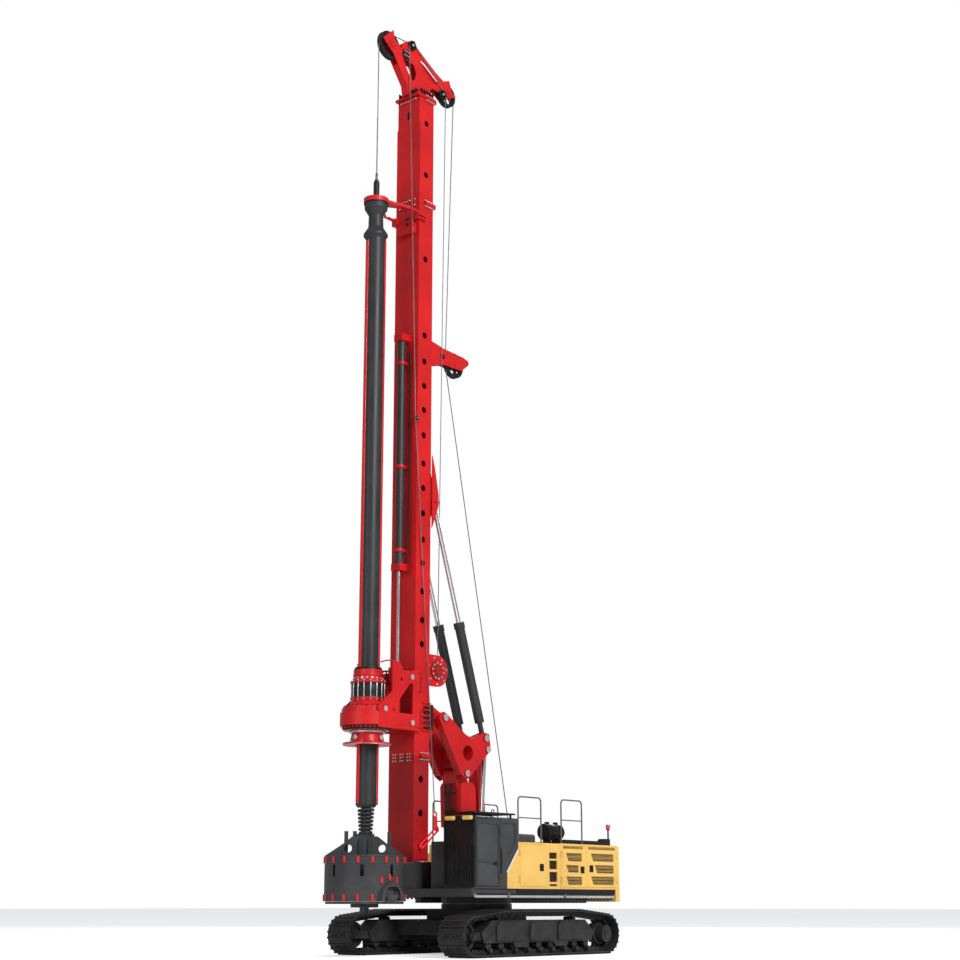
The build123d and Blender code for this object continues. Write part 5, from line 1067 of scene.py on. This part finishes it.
def flat_wire(mesh, foot, head, side, faces):
    """A flat wire between two (x, z) points on one side, from its inner to its outer face."""
    run = Vector((head[0] - foot[0], head[1] - foot[1])).normalized() * WIRE_HALF
    across = (-run.y, run.x)
    corners = []
    for y in (side * face for face in faces):
        for end, turn in ((foot, 1), (foot, -1), (head, -1), (head, 1)):
            corners.append(mesh.verts.new(point(end[0] + across[0] * turn, y, end[1] + across[1] * turn)))
    for face in ((0, 1, 2, 3), (7, 6, 5, 4), (0, 4, 5, 1), (1, 5, 6, 2), (2, 6, 7, 3), (3, 7, 4, 0)):
        mesh.faces.new([corners[i] for i in face])


for side, hand in HANDS:
    for door in (1, 2):
        net_mesh = bmesh.new()
        for number, fore, rear, low, high in FIELDS:
            if number != door:
                continue
            lean = FIELD_LEAN if high - low > 0.1 else 0.0
            wires = round((fore - rear) / WIRE_PITCH)
            for index in range(wires + 1):
                part = index / wires
                foot = (rear + (fore - lean - rear) * part, low)
                flat_wire(net_mesh, foot, (rear + (fore - rear) * part, high), side, UPRIGHT_FACES)
            rows = round((high - low) / WIRE_PITCH)
            for index in range(rows + 1):
                level = low + (high - low) * index / rows
                reach = fore - lean * (high - level) / (high - low)
                flat_wire(net_mesh, (rear, level), (reach, level), side, LEVEL_FACES)
        bmesh.ops.recalc_face_normals(net_mesh, faces=net_mesh.faces)
        net = bpy.data.objects.new("louvre_wire", bpy.data.meshes.new("louvre_wire"))
        net_mesh.to_mesh(net.data)
        net_mesh.free()
        bpy.context.collection.objects.link(net)
        bpy.context.view_layer.update()
        hang([net], "louvre_wire_%s_%d" % (hand, door), wire_brown, "housing_door_%s_%d" % (hand, door))
hang(both((-1.46, 1.43, 1.66), (-1.09, 1.445, 2.53), 0.003), "vent_screens", screen_brown, "upper")
hang(both((-3.97, 1.451, 1.49), (0.15, 1.49, 1.597), 0.006), "house_sills", black_metal, "upper")
# Seams between the house's panels are folded edges with a shallow bead.
beads = both((-4.06, 1.4995, 2.722), (-1.57, 1.506, 2.738), 0.002)
beads += both((-4.06, 1.4995, 1.612), (-1.57, 1.506, 1.628), 0.002)
hang(beads, "panel_beads", house_yellow, "upper")

# Step strips: silver ribs along the tread plate's edge, with a black lip on them and teeth below.
STEP_SPANS = ((0.59, 1.79), (-1.7, 0.49), (-3.9, -1.8))
TOOTH_PITCH = 0.15
ribs, poses = [], []
for rear, fore in STEP_SPANS:
    for level in (1.395, 1.43, 1.465):
        ribs += both((rear + 0.01, 1.4995, level - 0.006), (fore - 0.01, 1.512, level + 0.006), 0.002)
    for side in (1, -1):
        for index in range(int((fore - rear) / TOOTH_PITCH)):
            poses.append(Matrix.Translation(point(rear + 0.1 + TOOTH_PITCH * index, side * 1.475, 1.365)))
hang(ribs, "step_ribs", tread_plate, "upper")
bpy.ops.mesh.primitive_cube_add(size=1)
tooth = bpy.context.object
tooth.scale = (0.05, 0.05, 0.035)
bpy.ops.object.transform_apply()
apply_modifier(tooth, "BEVEL", width=0.008, segments=1)
hang(copies(tooth, poses), "step_teeth", black_metal, "upper")
lips = []
for rear, fore in STEP_SPANS:
    lips += both((rear + 0.005, 1.5015, 1.442), (fore - 0.005, 1.516, 1.484), 0.003)
hang(lips, "step_lips", black_metal, "upper")

# Beacon: a red lens on the thin post at the tail, with a black foot.
BEACON = (-3.96, 1.3)
beacon_red, moulded, lens = new_material("beacon_lens")
lens.inputs["Roughness"].default_value = 0.12
lens.inputs["Coat Weight"].default_value = 0.6
lens_place = moulded.nodes.new("ShaderNodeTexCoord").outputs["Object"]
cloudy = noise(moulded, lens_place, 14, 2)
two_reds = mix_colour(moulded, cloudy, (0.75, 0.01, 0.01, 1), (0.9, 0.04, 0.03, 1))
join(moulded, (two_reds, lens.inputs["Base Color"]))
dome = [
    bar((*BEACON, 3.185), (*BEACON, 3.325), 0.055, 28, 0.022),
    band(3.23, 3.26, 0.05, 0.06, BEACON, 28),
]
hang(dome, "beacon_lens", beacon_red, "upper")
hang([bar((*BEACON, 3.165), (*BEACON, 3.19), 0.05, 28, 0.006)], "beacon_foot", black_metal, "upper")

# Work lamps: a clear lens with an amber tint in each housing.
lens_amber = coated("lamp_lens", (0.85, 0.62, 0.16), 0.15, dust=0.0, coat=0.8)
lenses = []
for y in (0.8, 1.37):
    lenses.append(slab((2.012, y - 0.108, 3.243), (2.022, y + 0.108, 3.314), 0.004))
    lenses.append(slab((1.93, y - 0.1, 3.222), (2.0, y + 0.1, 3.232), 0.003))
hang(lenses, "lamp_lenses", lens_amber, "upper")

# Cab: a black seal round the door's opening, a handle, a wiper, a mirror, a grab bar and a lifting
# eye; the seam along its slanted rear edge is filled with a pale sealing strip.
seal_black = coated("rubber_seal", (0.011, 0.011, 0.012), 0.6, dust=0.04)
pale_strip = coated("pale_strip", (0.75, 0.75, 0.76), 0.4, fade=0.04, streaks=0.05, dust=0.0)
seal = []
for rear, low, fore, high in (
    (0.865, 1.645, 1.775, 1.663),
    (0.865, 3.257, 1.775, 3.275),
    (0.865, 1.645, 0.883, 3.275),
    (1.757, 1.645, 1.775, 3.275),
):
    seal.append(slab((rear, 1.4995, low), (fore, 1.5075, high), 0.003))
hang(seal, "door_opening_seal", seal_black, "upper")
handle = [
    slab((0.955, 1.5, 2.16), (1.1, 1.515, 2.24), 0.012),
    slab((0.975, 1.512, 2.185), (1.085, 1.532, 2.21), 0.006),
]
hang(handle, "cab_door_handle", black_metal, "cab_door")
strip = bent([(0.612, 1.508, 1.99), (0.165, 1.508, 2.56)], 0.017, kind="POLY")
hang([strip], "pale_edge_strip", pale_strip, "upper")
mirror_and_grab = [
    bent([(1.82, 1.42, 2.5), (1.9, 1.52, 2.6), (1.92, 1.53, 2.9), (1.82, 1.42, 3.0)], 0.012),
    slab((1.89, 1.455, 2.62), (1.92, 1.535, 2.92), 0.012),
    bent([(0.84, 1.5, 1.9), (0.84, 1.53, 1.92), (0.84, 1.53, 2.55), (0.84, 1.5, 2.57)], 0.014),
]
hang(mirror_and_grab, "cab_mirror_and_grab", black_metal, "upper")
wiper = bent([(1.812, 0.9, 1.85), (1.828, 0.98, 2.3), (1.828, 1.05, 2.75)], 0.009)
hang([wiper], "wiper", black_metal, "upper")
lifting = [ring((0.55, 1.0, 3.49), SIDE, 0.05, 0.014), bar((0.55, 1.0, 3.33), (0.55, 1.0, 3.45), 0.02, 16)]
hang(lifting, "cab_lifting_eye", rail_grey, "upper")

# Bounds of the dressed scene.
low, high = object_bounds()
